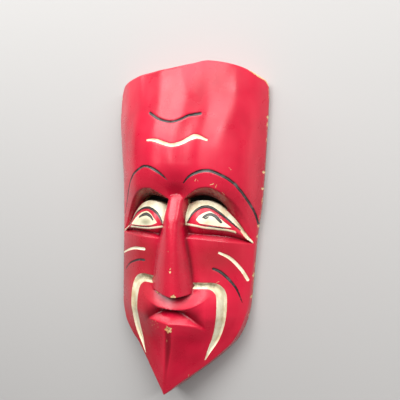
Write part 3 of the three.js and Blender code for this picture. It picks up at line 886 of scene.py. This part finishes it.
def hollow_skin():
    hollow_s, hollow_t = S[::COARSE, ::COARSE], T[::COARSE, ::COARSE]
    hollow_x, hollow_y = hollow_plan(hollow_s, hollow_t)
    hollow_z = hollow_height(hollow_s, hollow_t, hollow_y)
    return np.stack([hollow_x, hollow_y, hollow_z], -1).reshape(-1, 3)


def closed_skin():
    points = [front_skin()]
    faces = grid_faces(COLUMNS, ROWS, 0, False)
    previous = border_indices(COLUMNS, ROWS)
    count = len(points[0])
    for ring in side_rings(points[0][previous]):
        new = count + np.arange(len(ring))
        faces += band_faces(previous.tolist(), new.tolist())
        points.append(ring)
        previous = new
        count += len(ring)
    points.append(hollow_skin())
    faces += grid_faces(COLUMNS // COARSE, ROWS // COARSE, count, True)
    inner = count + border_indices(COLUMNS // COARSE, ROWS // COARSE)
    faces += rim_faces(previous.tolist(), inner.tolist())
    return np.vstack(points), faces


skin_points, skin_faces = closed_skin()
print("points, faces:", len(skin_points), len(skin_faces))

# %% [markdown]
# ## Into place
# The carver's lines count from the bridge of the nose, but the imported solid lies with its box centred
# on the origin. The skin is moved so that its own box is centred over the solid's and rests on the
# same level. Blender counts in metres, so the millimetres are scaled last.
# %% Mesh from points and faces
plan_centre = (skin_points.min(0) + skin_points.max(0))[:2] / 2
solid_low, solid_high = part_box("mask")
to_place = Vector(((solid_low.x + solid_high.x) / 2, (solid_low.y + solid_high.y) / 2, solid_low.z))
SHIFT = np.array([to_place.x / MM - plan_centre[0], to_place.y / MM - plan_centre[1], to_place.z / MM])


def make_mesh(name, points, faces):
    """An object from points in the carver's millimetres."""
    mesh = bpy.data.meshes.new(name)
    mesh.from_pydata(((points + SHIFT) * MM).tolist(), [], faces)
    mesh.validate()
    made = bpy.data.objects.new(name, mesh)
    bpy.context.scene.collection.objects.link(made)
    return made


mask = make_mesh("mask_carving", skin_points, skin_faces)
print("moved by, mm:", SHIFT.round(2))

# %% [markdown]
# ## Sight slits
# The wearer looks out through a narrow crescent over each carved eye. It is sawn right through, so
# the script makes an upright bar of the same crescent and subtracts it with a Boolean modifier.
# %% Sight slits
SLIT_STEPS = 24
SLIT_ABOVE_EYE = 0.2
BAR_ENDS = (2, 82)


def slit_bar(sign, eye):
    """An upright bar with the outline of one slit, long enough to pass through the whole face."""
    xs = np.linspace(*eye["slit"], SLIT_STEPS + 1)
    outline = [(sign * x, eye["eye_top"](x) + SLIT_ABOVE_EYE) for x in xs]
    outline += [(sign * x, eye["slit_top"](x)) for x in xs[::-1]]
    if sign < 0:
        outline.reverse()
    count = len(outline)
    points = np.array([(x, y, z) for z in BAR_ENDS for x, y in outline])
    faces = [list(range(count))[::-1], list(range(count, 2 * count))]
    faces += [(i, (i + 1) % count, count + (i + 1) % count, count + i) for i in range(count)]
    return make_mesh("slit_bar", points, faces)


for sign, eye in ((1, RIGHT_EYE), (-1, LEFT_EYE)):
    bar = slit_bar(sign, eye)
    cut = mask.modifiers.new("sight slit", "BOOLEAN")
    cut.operation = "DIFFERENCE"
    cut.solver = "MANIFOLD"
    cut.object = bar
    view_graph = bpy.context.evaluated_depsgraph_get()
    result = bpy.data.meshes.new_from_object(mask.evaluated_get(view_graph))
    mask.modifiers.clear()
    mask.data = result
    bpy.data.objects.remove(bar)
mask.data.name = "mask_carving"
print("triangles:", sum(len(p.vertices) - 2 for p in mask.data.polygons))

# %% [markdown]
# ## Where the paint goes
# The painter filled the carved lines and left everything else red. For every point of the mesh the
# script stores how many millimetres it lies inside each painted field, as a named attribute. The
# material then draws the edge of the paint at zero, which stays crisp however close the view is.
# %% Eye painting
RIGHT_LID = line(
    (9, 3), (15.5, 14), (22.5, 20.3), (29.8, 22.7), (37, 20.8), (45, 15.4), (53, 8.8), (65, -2),
)
LEFT_LID = line((15, 0), (21.5, 11), (28, 15.9), (36.8, 18), (46, 15.6), (56, 9), (65, -6))
RIGHT_ALMOND_TOP = line(
    (20.5, 8.6), (24, 13.2), (28.5, 16.3), (34, 17.9), (38.5, 15.6), (44.5, 10.8), (56, 1.6),
)
RIGHT_ALMOND_LOW = line((20.5, 9), (25.5, 5.2), (34, 4), (48.5, 2.2), (56, 1.4))
LEFT_ALMOND_TOP = line((21.5, 2.5), (26, 7.5), (31, 12), (36.5, 14.3), (43.5, 12.5), (51.5, 7), (60, -2))
LEFT_ALMOND_LOW = line((21.5, 3), (30, -0.4), (40, -1.6), (60, -2.4))
LID_ENDS = {"right": (10, 64.5), "left": (15, 64)}
ALMOND_ENDS = {"right": (20.5, 56), "left": (21.5, 60)}
PUPILS = [
    ((1.2, 1.5, 1.5, 1.2), [(28.4, 11.6), (31.5, 14), (35.5, 14.8), (40, 12.9), (43, 9.8), (45.8, 7)]),
    ((0.9, 0.7), [(28.8, 11.6), (30.8, 10.4), (33, 12)]),
    ((0.9, 1.5, 1.8, 1.5, 0.9), [(-47.5, 6.6), (-43, 9.2), (-37, 11), (-31, 9.2), (-27, 5.6)]),
]
EYE_FOLDS = [
    ((0.3, 0.7, 0.7, 0.3), [(24, 4.2), (34, 2.6), (46, 1.2), (57, -0.2)]),
    ((0.3, 0.6, 0.6, 0.3), [(-22, 0.4), (-34, -2.4), (-48, -3.2), (-60, -3.4)]),
]
print("brush lines inside the eyes:", len(PUPILS + EYE_FOLDS))

# %% [markdown]
# ### Cream of the eyes
# The lines above bound three fields: the whole ball, a red field inside the carved lid, and a cream
# almond inside the red. Each field is the lesser of its distances to its own bounds. At the outer
# corner the cream narrows to a tail along the upper edge.
# %% Cream of the eyes
TAIL_START = 60.5
TAIL_WIDTH = 2.3
RIM_STRIPE = 1.3
OVER_RIM = 0.9
OVER_TOP = 0.4


def under(curve, x, y):
    """How far a point lies below a line, square to the line."""
    slope = curve(x + 0.5) - curve(x - 0.5)
    return (curve(x) - y) / np.sqrt(1 + slope * slope)


def within(ends, x):
    """How far a point lies inside the two ends of a painted shape, measured across the face."""
    left, right = ends["left"], ends["right"]
    ax = abs(x)
    return np.where(x < 0, np.minimum(ax - left[0], left[1] - ax), np.minimum(ax - right[0], right[1] - ax))


def below_pair(left_curve, right_curve, x, y):
    """How far a point lies below the line of its own side of the face."""
    return np.where(x < 0, under(left_curve, abs(x), y), under(right_curve, abs(x), y))


def cream_eyes(x, y):
    """The cream of the eye: the ball without the red field inside the lid, and the almond in it."""
    almond_top = below_pair(LEFT_ALMOND_TOP, RIGHT_ALMOND_TOP, x, y)
    almond_low = -below_pair(LEFT_ALMOND_LOW, RIGHT_ALMOND_LOW, x, y)
    almond = np.minimum(np.minimum(almond_top, almond_low), within(ALMOND_ENDS, x))
    above_rim = -below_pair(LEFT_EYE["eye_bottom"], RIGHT_EYE["eye_bottom"], x, y)
    below_top = below_pair(LEFT_EYE["eye_top"], RIGHT_EYE["eye_top"], x, y)
    lid = below_pair(LEFT_LID, RIGHT_LID, x, y)
    red_field = np.minimum(np.minimum(lid, above_rim - RIM_STRIPE), within(LID_ENDS, x))
    whole = np.minimum(below_top + OVER_TOP, above_rim + OVER_RIM)
    whole = np.minimum(whole, SOCKET_END - 1 - abs(x))
    tail = np.minimum(whole, TAIL_WIDTH - below_top)
    whole = np.where(abs(x) > TAIL_START, tail, whole)
    return np.maximum(np.minimum(whole, -red_field), almond)


pupil_inside = cream_eyes(np.array([-37.0, 34]), np.array([6.0, 10]))
print("inside the two almonds, mm:", pupil_inside.round(1))

# %% [markdown]
# ### Worn edges
# Handling and knocks take the paint off where the wood stands out: along the outline, most of all at
# the upper right corner, and at the tip of the nose. A few short scratches show pale wood as well.
# Each scratch is (x, y, length, direction in degrees).
# %% Scratches and edge wear
SCRATCHES = [
    (22, 49.5, 3.2, 60), (24.6, 48.8, 2.6, 120), (38, 46, 4, 20), (42, 44.5, 3, 70),
    (48.6, 37, 3, 130), (54, 62.5, 2.6, 140), (44.5, -56.5, 3, 35), (-20, -101, 1.4, 70),
    (-14, -102, 1.2, 110), (-21.5, -106.5, 1.2, 20), (-13.5, -106, 1.4, 60), (-17, -109, 1.6, 10),
    (-18.5, -104, 1.1, 120), (-16, -99.5, 1.2, 30), (-2.6, -118.5, 2.4, 90), (-2, -124, 2, 80),
    (17.5, -161, 3.4, 100), (-3.4, 1, 1.6, 86), (-4.2, -6, 1.2, 94), (-3.6, -13, 1.4, 88),
    (-2.4, -24, 1, 85), (1.5, -41, 2, 60),
]
SCRATCH_HALF = 0.36
CORNER_FROM = (58, 150)
CORNER_TO = (72, 160)
RIGHT_SIDE_WEAR = 0.42
LEFT_SIDE_WEAR = 0.36


def inside_scratches(x, y):
    """How far each point lies inside the nearest scratch."""
    inside = np.full(x.shape, FAR_OUTSIDE)
    for middle_x, middle_y, length, direction in SCRATCHES:
        turn = math.radians(direction)
        reach = np.array([math.cos(turn), math.sin(turn)]) * length / 2
        centre = np.array([middle_x, middle_y])
        far = to_path(x, y, np.array([centre - reach, centre + reach]))[0]
        inside = np.maximum(inside, SCRATCH_HALF - far)
    return inside


def to_outline(x, y):
    """Distance inside the nearest part of the outline, in millimetres."""
    sides = np.minimum(from_edge(RIGHT_EDGE, x, y), from_edge(LEFT_EDGE, -x, y))
    return np.minimum(sides, TOP_EDGE(x) - y)


def edge_wear(x, y):
    """How worn the outline is at each point, from 0 to 1."""
    corner = smooth(CORNER_FROM[0], CORNER_TO[0], x) * smooth(CORNER_FROM[1], CORNER_TO[1], y)
    right_side = RIGHT_SIDE_WEAR * smooth(60, 72, x)
    left_side = LEFT_SIDE_WEAR * smooth(-60, -76, x)
    return np.maximum(np.maximum(corner, right_side), left_side)


print("scratches:", len(SCRATCHES))

# %% [markdown]
# ### Fields on the mesh
# Every point of the finished mesh now gets its values. Besides the paints there are fields for painted
# shade: nearly black red in the deep hollows, in the mouth and down the flute, a dull brown red on the
# cheeks, and brown in the upper part of the moustache grooves.
# %% Points of the mesh
BACK_HEIGHT = 1
BACK_DEPTH = 7
BACK_INSET = 8
EDGE_DROP = 0.4


def store(mesh, name, values):
    """Keeps one value for each point of the mesh under a name that the material can read."""
    layer = mesh.attributes.new(name, "FLOAT", "POINT")
    layer.data.foreach_set("value", np.ascontiguousarray(values, np.float32))


def mesh_points(mesh):
    """The points of the mesh in the carver's millimetres."""
    flat = np.zeros(len(mesh.vertices) * 3, np.float32)
    mesh.vertices.foreach_get("co", flat)
    return flat.reshape(-1, 3).astype(float) / MM - SHIFT


px, py, pz = mesh_points(mask.data).T
surface = face_height(px, py)
outline_gap = to_outline(px, py)
below_edge = np.maximum(surface - pz - EDGE_DROP, 0)
behind = (pz < BACK_HEIGHT) | ((pz < surface - BACK_DEPTH) & (outline_gap > BACK_INSET))
print("points in front and behind:", int((~behind).sum()), int(behind.sum()))

# %% [markdown]
# ### Painted shade and stains
# Where a surface is hollow, its neighbours stand higher: comparing each point with a ring round it
# finds the hollows, which get painted shade, and the high wood, which gets a painted highlight.
# Painted shade in the grooves and on the cheeks, and the stains, have their own places.
# Each stain is (x, y, half width, half height, strength).
# %% Painted shade and stains
RINGS = (4, 9)
# Strength of the painted shade in the upper and lower parts of the moustache grooves.
UPPER_GROOVE_SHADE = 0.95
LOWER_GROOVE_SHADE = 0.4
# Where the painted shade lies on the cheeks, and its strength down the left side.
CHEEK_MIDDLE = (42, -32)
CHEEK_REACH = (26, 17)
LEFT_SIDE_SHADE = 0.75
STAINS = [(-37, 2.5, 9, 4.5, 1), (37, 7, 10, 4, 0.4)]


def bell(x, y, middle, reach):
    """1 at the middle, fading to almost nothing at twice the reach."""
    return np.exp(-(((x - middle[0]) / reach[0]) ** 2) - ((y - middle[1]) / reach[1]) ** 2)


def mean_around(x, y, reach):
    """The mean height of the face on a ring round each point."""
    turns = np.arange(8) * math.pi / 4
    return np.mean([face_height(x + reach * math.cos(a), y + reach * math.sin(a)) for a in turns], 0)


def groove_shade(groove_inside, along, across_groove):
    """Painted shade in the grooves: thick at the upper ends, thin further down."""
    upper = UPPER_GROOVE_SHADE * smooth(0.3, 0.2, along) * smooth(-0.75, -0.3, across_groove)
    lower = LOWER_GROOVE_SHADE * smooth(0.95, 0.6, along)
    return np.maximum(upper, lower) * (groove_inside > -1)


def cheek_shade(x, y):
    """Painted shade, a dull brown red: under both eyes, and down the left cheek beside the nose."""
    cheeks = bell(abs(x), y, CHEEK_MIDDLE, CHEEK_REACH)
    left_side = LEFT_SIDE_SHADE * smooth(-14, -34, x) * smooth(-16, -40, y)
    off_nose = nose(x, y) < carved_height(x, y) - 1
    return np.maximum(cheeks, left_side) * off_nose


def stains(x, y):
    """Olive stains low on the eyes, the left one stronger."""
    return sum(strength * bell(x, y, (cx, cy), (wide, high)) for cx, cy, wide, high, strength in STAINS)


hollowness = np.mean([mean_around(px, py, ring) for ring in RINGS], 0) - surface
print("points in a hollow:", int((hollowness > 1).sum()))

# %% [markdown]
# ### Paint and bare spots
# A field is a distance in millimetres, above zero inside, or a share from 0 to 1. The nose is painted
# red over the ends of the grooves, so the cream stops where the nose begins.
# %% Painted fields as attributes
NOSE_OVERLAP = 1.5
WALL_WEAR = 0.6
# Strength of the painted shade in the mouth, down the flute and in the deep hollows.
SHADE_STRENGTH = 0.9

_, groove_inside, along, across_groove = groove(px, py)
cream_field = np.maximum(groove_inside, inside_cuts(CREAM_CUTS, px, py))
cream_field = np.maximum(cream_field, cream_eyes(px, py))
nose_clear = (carved_height(px, py) - nose(px, py)) / NOSE_OVERLAP + 0.3
# Painted shade: nearly black red down the flute, in the mouth below the collar and in the deepest hollows.
flute_shade = SHADE_STRENGTH * flute_shape(px, py) * smooth(-176, -128, py)
recess_shade = np.maximum(flute_shade, SHADE_STRENGTH * valley(px, py))
fields = {
    "cream": np.minimum(cream_field, nose_clear),
    "black": inside_cuts(BLACK_CUTS + LID_CUTS + PUPILS + EYE_FOLDS, px, py),
    "bare": np.maximum(inside_chips(px, py), inside_scratches(px, py)),
    "edge_gap": outline_gap + WALL_WEAR * below_edge,
    "edge_wear": edge_wear(px, py),
    "hollowness": hollowness,
    "recess_shade": np.maximum(recess_shade, smooth(1.2, 4, hollowness)),
    "cheek_shading": cheek_shade(px, py),
    "stain": stains(px, py),
    "groove_shading": groove_shade(groove_inside, along, across_groove),
    "behind": behind,
}
for name, values in fields.items():
    store(mask.data, name, values)
    print(name, "from", round(float(np.min(values)), 1), "to", round(float(np.max(values)), 1))

# %% [markdown]
# ## Smooth and sharp
# The skin is shaded smooth, so the small squares vanish, but a sawn slit has a crisp corner. Edges
# that bend by more than a set angle stay sharp.
# %% Shading
SHARP_ANGLE = 62

mask.data.polygons.foreach_set("use_smooth", [True] * len(mask.data.polygons))
mask.data.set_sharp_from_angle(angle=math.radians(SHARP_ANGLE))
print("edges kept sharp:", sum(edge.use_edge_sharp for edge in mask.data.edges))

# %% [markdown]
# ## Small helpers for a node material
# A procedural material is a graph: patterns are made from the place on the object, turned into masks,
# and the masks mix colours and roughness before they reach one Principled shader. These helpers keep
# each step of the graph to one readable line. Some nodes have several sockets with the same name, so
# those are given by number: _6 and _7 are the two colours of a Mix node, _2 and _3 its two numbers.
# %% Node helpers
OBJECT_PLACE = 3
ATTRIBUTE_VALUE = 2
MIXED_COLOUR = 2
MIXED_NUMBER = 0

material = bpy.data.materials.new("painted_wood")
material.use_nodes = True
tree = material.node_tree
shader = tree.nodes["Principled BSDF"]


def node(kind, outlet=0, settings=None, **inputs):
    """Adds a node, fills its inputs with numbers or links, and returns one of its outputs."""
    made = tree.nodes.new("ShaderNode" + kind)
    for name, value in (settings or {}).items():
        setattr(made, name, value)
    for name, value in inputs.items():
        key = int(name[1:]) if name[0] == "_" else name.replace("_", " ")
        if isinstance(value, bpy.types.NodeSocket):
            tree.links.new(value, made.inputs[key])
        else:
            made.inputs[key].default_value = value
    return made.outputs[outlet]


def field(name):
    """A stored field of the mesh."""
    return node("Attribute", ATTRIBUTE_VALUE, {"attribute_name": name})


def calc(operation, a, b=0.0, c=0.0):
    return node("Math", settings={"operation": operation}, _0=a, _1=b, _2=c)


def times(a, b):
    return calc("MULTIPLY", a, b)


def step(value, low, high):
    """0 below low, 1 above high, smooth between."""
    settings = {"interpolation_type": "SMOOTHSTEP"}
    return node("MapRange", settings=settings, Value=value, From_Min=low, From_Max=high)


def blend(share_of_b, a, b):
    """Colour a, covered by colour b as far as the share says."""
    return node("Mix", MIXED_COLOUR, {"data_type": "RGBA"}, _0=share_of_b, _6=a, _7=b)


def blend_value(share_of_b, a, b):
    return node("Mix", MIXED_NUMBER, _0=share_of_b, _2=a, _3=b)


place = node("TexCoord", OBJECT_PLACE)


def stretched(x, y, z):
    """The place on the object scaled along each axis; a small scale draws a pattern out longer."""
    return node("Mapping", Vector=place, Scale=(x, y, z))


def noise(scale, detail=3.0, roughness=0.5, vector=None):
    return node("TexNoise", Vector=vector or place, Scale=scale, Detail=detail, Roughness=roughness)


print("nodes so far:", len(tree.nodes))

# %% [markdown]
# ## Red lacquer
# The ground coat is a deep crimson gloss, brushed mostly up and down, with darker patches at random.
# Painted shade darkens it in the hollows and makes it nearly black-red in the mouth, in the flute of the
# chin and in the deepest hollows. It is paler and pinker on the high wood, partly where the paint is
# thin and partly as a painted highlight. Painted shade makes it dull and brownish on the cheeks and
# down the left side of the face.
# %% Red lacquer
DEEP_RED = (0.40, 0.002, 0.02, 1)
BRIGHT_RED = (0.62, 0.004, 0.036, 1)
# Pale pink red: thin paint in the brush streaks, and the painted highlight on the high wood.
THIN_RED_AND_HIGHLIGHT = (0.74, 0.045, 0.075, 1)
# Dull brown red for the painted shade on the cheeks and the left side.
SHADED_BROWN_RED = (0.36, 0.022, 0.03, 1)
# Nearly black red for the painted shade in the recesses.
SHADE_RED = (0.11, 0.002, 0.006, 1)

brush = noise(26, 4, 0.55, stretched(1, 0.18, 1))
cloud = noise(17, 3, 0.5)
fine_grain = noise(260, 3, 0.6, stretched(1, 0.07, 1))
# Painted highlight: the high wood is made paler and pinker.
high_wood_highlight = step(field("hollowness"), 0.5, -0.7)
# Painted shade: the red is darker in the hollows.
sunken_shade = step(field("hollowness"), 0.2, 2.2)
red = blend(step(cloud, 0.3, 0.68), DEEP_RED, BRIGHT_RED)
red = blend(times(step(brush, 0.5, 0.75), 0.5), red, THIN_RED_AND_HIGHLIGHT)
red = blend(times(high_wood_highlight, 0.25), red, THIN_RED_AND_HIGHLIGHT)
red = blend(times(sunken_shade, 0.55), red, DEEP_RED)
# Painted shade: dull brown red on the cheeks and down the left side.
red = blend(times(field("cheek_shading"), 0.8), red, SHADED_BROWN_RED)
# Painted shade: nearly black red in the mouth, the flute and the deepest hollows.
red = blend(times(field("recess_shade"), 0.8), red, SHADE_RED)
red = blend(times(step(fine_grain, 0.58, 0.8), 0.12), red, DEEP_RED)
print("nodes with the red:", len(tree.nodes))

# %% [markdown]
# ## Cream and black paint
# Both are thinner, flatter paints laid over the red with a small brush. The cream has yellowed in
# patches; painted shade makes it a little olive where it lies deep and brown in the moustache grooves,
# most of all in their upper part. The black is patchy too, with a grey painted highlight along the
# middle of its widest lines. A little noise is added to each distance first, so the edges waver as a
# brushed edge does.
# %% Cream and black paint
CREAM = (0.96, 0.89, 0.66, 1)
OLD_CREAM = (0.74, 0.60, 0.36, 1)
OLIVE = (0.20, 0.19, 0.09, 1)
# Brown for the painted shade in the moustache grooves.
GROOVE_SHADE_COLOUR = (0.2, 0.14, 0.065, 1)
BLACK = (0.014, 0.012, 0.014, 1)
RUBBED_BLACK = (0.11, 0.10, 0.10, 1)
# Grey for the painted highlight along the middle of the black lines.
GREY_HIGHLIGHT = (0.24, 0.22, 0.19, 1)
WOBBLE = 0.5

wobble = times(calc("SUBTRACT", noise(420, 2), 0.5), WOBBLE)
cream_share = step(calc("ADD", field("cream"), wobble), -0.1, 0.14)
black_share = step(calc("ADD", field("black"), wobble), -0.08, 0.14)
cream = blend(step(noise(70, 4, 0.6), 0.42, 0.72), CREAM, OLD_CREAM)
# Painted shade: the cream is a little olive where it lies deep.
cream = blend(times(step(field("hollowness"), 0.8, 3.4), 0.3), cream, OLIVE)
cream = blend(times(field("stain"), 0.75), cream, OLIVE)
streaks = step(noise(150, 3, 0.6, stretched(1, 0.16, 1)), 0.2, 0.65)
# Painted shade: brown, streaky cream in the moustache grooves, thickest in their upper part.
cream = blend(times(field("groove_shading"), streaks), cream, GROOVE_SHADE_COLOUR)
black = blend(step(noise(95, 3, 0.6), 0.48, 0.7), BLACK, RUBBED_BLACK)
# Painted highlight: grey along the middle of the widest black lines.
black = blend(times(step(field("black"), 0.5, 1.1), 0.28), black, GREY_HIGHLIGHT)
painted = blend(cream_share, red, cream)
painted = blend(black_share, painted, black)
print("nodes with cream and black:", len(tree.nodes))

# %% [markdown]
# ## Bare wood
# Where paint is gone the wood shows, pale and warm, with a dark heart in the deepest chip. The back
# was never painted and has browned. Grain is a noise stretched along the length, because the fibres
# run that way.
# %% Bare wood
PALE_WOOD = (0.78, 0.55, 0.28, 1)
CHIP_ORANGE = (0.62, 0.27, 0.07, 1)
CHIP_HEART = (0.16, 0.05, 0.02, 1)
BACK_WOOD = (0.47, 0.30, 0.15, 1)
BACK_DARK = (0.24, 0.13, 0.06, 1)

grain = noise(90, 5, 0.62, stretched(1, 0.05, 1))
chip_heart = times(step(field("bare"), 2.0, 3.0), 0.9)
chip_wood = blend(chip_heart, blend(step(grain, 0.4, 0.8), PALE_WOOD, CHIP_ORANGE), CHIP_HEART)
edge_noise = times(calc("SUBTRACT", noise(75, 5, 0.7), 0.66), 6)
edge_reach = calc("ADD", edge_noise, times(field("edge_wear"), 3))
edge_bare = step(calc("SUBTRACT", edge_reach, field("edge_gap")), 0.1, 0.4)
bare_share = step(calc("ADD", field("bare"), wobble), -0.05, 0.15)
bare_share = calc("MAXIMUM", bare_share, edge_bare)
back_share = step(field("behind"), 0.35, 0.65)
faced = blend(bare_share, painted, chip_wood)
back = blend(step(grain, 0.35, 0.7), BACK_WOOD, BACK_DARK)
colour = blend(back_share, faced, back)
tree.links.new(colour, shader.inputs["Base Color"])
print("nodes with the wood:", len(tree.nodes))

# %% [markdown]
# ## Gloss and touch
# The red is glossy with a thin clear look over it, cream and black are duller, bare wood is matt.
# A mottle makes the gloss patchy, as a lacquer brushed on by hand is. The bump adds brush ridges,
# the same mottle and fine grain on the front, and gouge marks on the back.
# %% Gloss and bump
RED_GLOSS = 0.3
PAINT_GLOSS = 0.42
WOOD_GLOSS = 0.75
COAT = 0.1
COAT_ROUGHNESS = 0.22
SPECULAR_LEVEL = 0.4
BUMP_STRENGTH = 0.55
BUMP_DEPTH = 0.0011

mottle = noise(64, 4, 0.6)
gloss = blend_value(step(cloud, 0.35, 0.7), RED_GLOSS - 0.05, RED_GLOSS + 0.06)
gloss = calc("ADD", gloss, times(calc("SUBTRACT", mottle, 0.5), 0.35))
gloss = blend_value(calc("MAXIMUM", cream_share, black_share), gloss, PAINT_GLOSS)
bare_or_back = calc("MAXIMUM", bare_share, back_share)
gloss = blend_value(bare_or_back, gloss, WOOD_GLOSS)
tree.links.new(gloss, shader.inputs["Roughness"])
shader.inputs["Coat Weight"].default_value = COAT
shader.inputs["Coat Roughness"].default_value = COAT_ROUGHNESS
shader.inputs["Specular IOR Level"].default_value = SPECULAR_LEVEL

gouges = node("TexVoronoi", 0, {"feature": "SMOOTH_F1"}, Vector=stretched(1, 0.45, 1), Scale=95)
ridges = calc("ADD", times(brush, 0.6), times(fine_grain, 0.12))
ridges = calc("ADD", ridges, times(mottle, 0.22))
front_height = calc("SUBTRACT", ridges, times(bare_share, 0.35))
touch = blend_value(back_share, front_height, calc("ADD", gouges, times(grain, 0.25)))
bump = node("Bump", Strength=BUMP_STRENGTH, Distance=BUMP_DEPTH, Height=touch)
tree.links.new(bump, shader.inputs["Normal"])
mask.data.materials.clear()
mask.data.materials.append(material)
print("nodes in the finish:", len(tree.nodes))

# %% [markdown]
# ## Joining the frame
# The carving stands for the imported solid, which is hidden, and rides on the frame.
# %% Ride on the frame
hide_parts("mask")
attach(mask, "root")
print("rides on the frame:", mask.name)

# %% [markdown]
# ## Floor
# The mask lies on a plain pale floor, a large flat sheet in matt plaster. It is darker than paper, so
# that it doesn't throw pale light back onto the sides of the nose and cheeks.
# %% Floor
FLOOR_HALF = 6
FLOOR_GAP = 0.0002
PLASTER = (0.45, 0.44, 0.43, 1)
PLASTER_ROUGHNESS = 0.8


def make_floor(half):
    corners = [(-half, -half, 0), (half, -half, 0), (half, half, 0), (-half, half, 0)]
    mesh = bpy.data.meshes.new("floor")
    mesh.from_pydata(corners, [], [(0, 1, 2, 3)])
    made = bpy.data.objects.new("floor", mesh)
    made.location.z = cad_low.z - FLOOR_GAP
    bpy.context.scene.collection.objects.link(made)
    plaster = bpy.data.materials.new("pale_floor")
    plaster.use_nodes = True
    surface_shader = plaster.node_tree.nodes["Principled BSDF"]
    surface_shader.inputs["Base Color"].default_value = PLASTER
    surface_shader.inputs["Roughness"].default_value = PLASTER_ROUGHNESS
    mesh.materials.append(plaster)
    return made


make_floor(FLOOR_HALF)
print("floor, m across:", 2 * FLOOR_HALF)

# %% [markdown]
# ## Light
# A glossy surface shows what it mirrors, so each light is placed where one part of the face looks. A
# large softbox beyond the forehead lights the whole mask, as daylight from a window would. A softbox
# to the left of the forehead gives its broad sheen, and a narrow strip on the right the streak beside
# it. A long low one brightens the ledges under the eyes, which face the top of the mask. A weak one
# low on the left lifts that side of the nose. The world adds a little light from everywhere.
# %% Lights
WORLD_STRENGTH = 0.12


def softbox(name, place_at, aim_at, width, length, power):
    """A rectangular light; places and sizes in metres, power in watts."""
    lamp = bpy.data.lights.new(name, "AREA")
    lamp.shape = "RECTANGLE"
    lamp.size = width
    lamp.size_y = length
    lamp.energy = power
    made = bpy.data.objects.new(name, lamp)
    made.location = place_at
    made.rotation_euler = (Vector(aim_at) - Vector(place_at)).to_track_quat("-Z", "Y").to_euler()
    bpy.context.scene.collection.objects.link(made)
    return made


softbox("overhead softbox", (0.2, 1.3, 1.2), (0, 0, 0.03), 2.0, 1.1, 34)
softbox("forehead softbox", (-0.6, 0.62, 1.15), (0, 0.1, 0.05), 0.6, 0.75, 11)
softbox("ledge softbox", (-0.1, 1.27, 0.3), (0, 0, 0.05), 2.2, 0.34, 12)
softbox("low left softbox", (-0.98, 0.8, 0.28), (0, 0, 0.04), 0.5, 0.3, 1.8)
softbox("window strip", (0.87, 0.55, 0.95), (0, 0.1, 0.05), 0.12, 1.1, 7)
world = bpy.data.worlds.new("studio")
world.use_nodes = True
world.node_tree.nodes["Background"].inputs["Color"].default_value = (1, 1, 1, 1)
world.node_tree.nodes["Background"].inputs["Strength"].default_value = WORLD_STRENGTH
bpy.context.scene.world = world
bpy.context.scene.view_settings.view_transform = "Standard"
print("lights:", len(bpy.data.lights))

# %% [markdown]
# ## Camera
# The camera looks almost straight down on the mask, a little from the wearer's left, from close by,
# so the nose and the near cheek look larger. It aims at a point inside the wood, under the right eye
# socket. It is rolled round its own line of sight first, then tipped and swung to the side. Places are
# in the carver's millimetres, turns in degrees.
# %% Camera
AIM = Vector((19.4, 28.8, 29.5))
CAMERA_DISTANCE = 410.8
SWING = 14.86
TIP = -1.67
ROLL = 2.45
LENS = 34.15

turn = (
    Matrix.Rotation(math.radians(SWING), 3, "Y")
    @ Matrix.Rotation(math.radians(TIP), 3, "X")
    @ Matrix.Rotation(math.radians(ROLL), 3, "Z")
)
camera_data = bpy.data.cameras.new("camera")
camera_data.lens = LENS
camera_data.sensor_width = 36
camera_data.clip_start = 0.01
camera = bpy.data.objects.new("camera", camera_data)
camera.location = (AIM + Vector(SHIFT) + turn @ Vector((0, 0, CAMERA_DISTANCE))) * MM
camera.rotation_euler = turn.to_euler()
bpy.context.scene.collection.objects.link(camera)
bpy.context.scene.camera = camera
print("camera at, mm:", [round(v / MM) for v in camera.location])
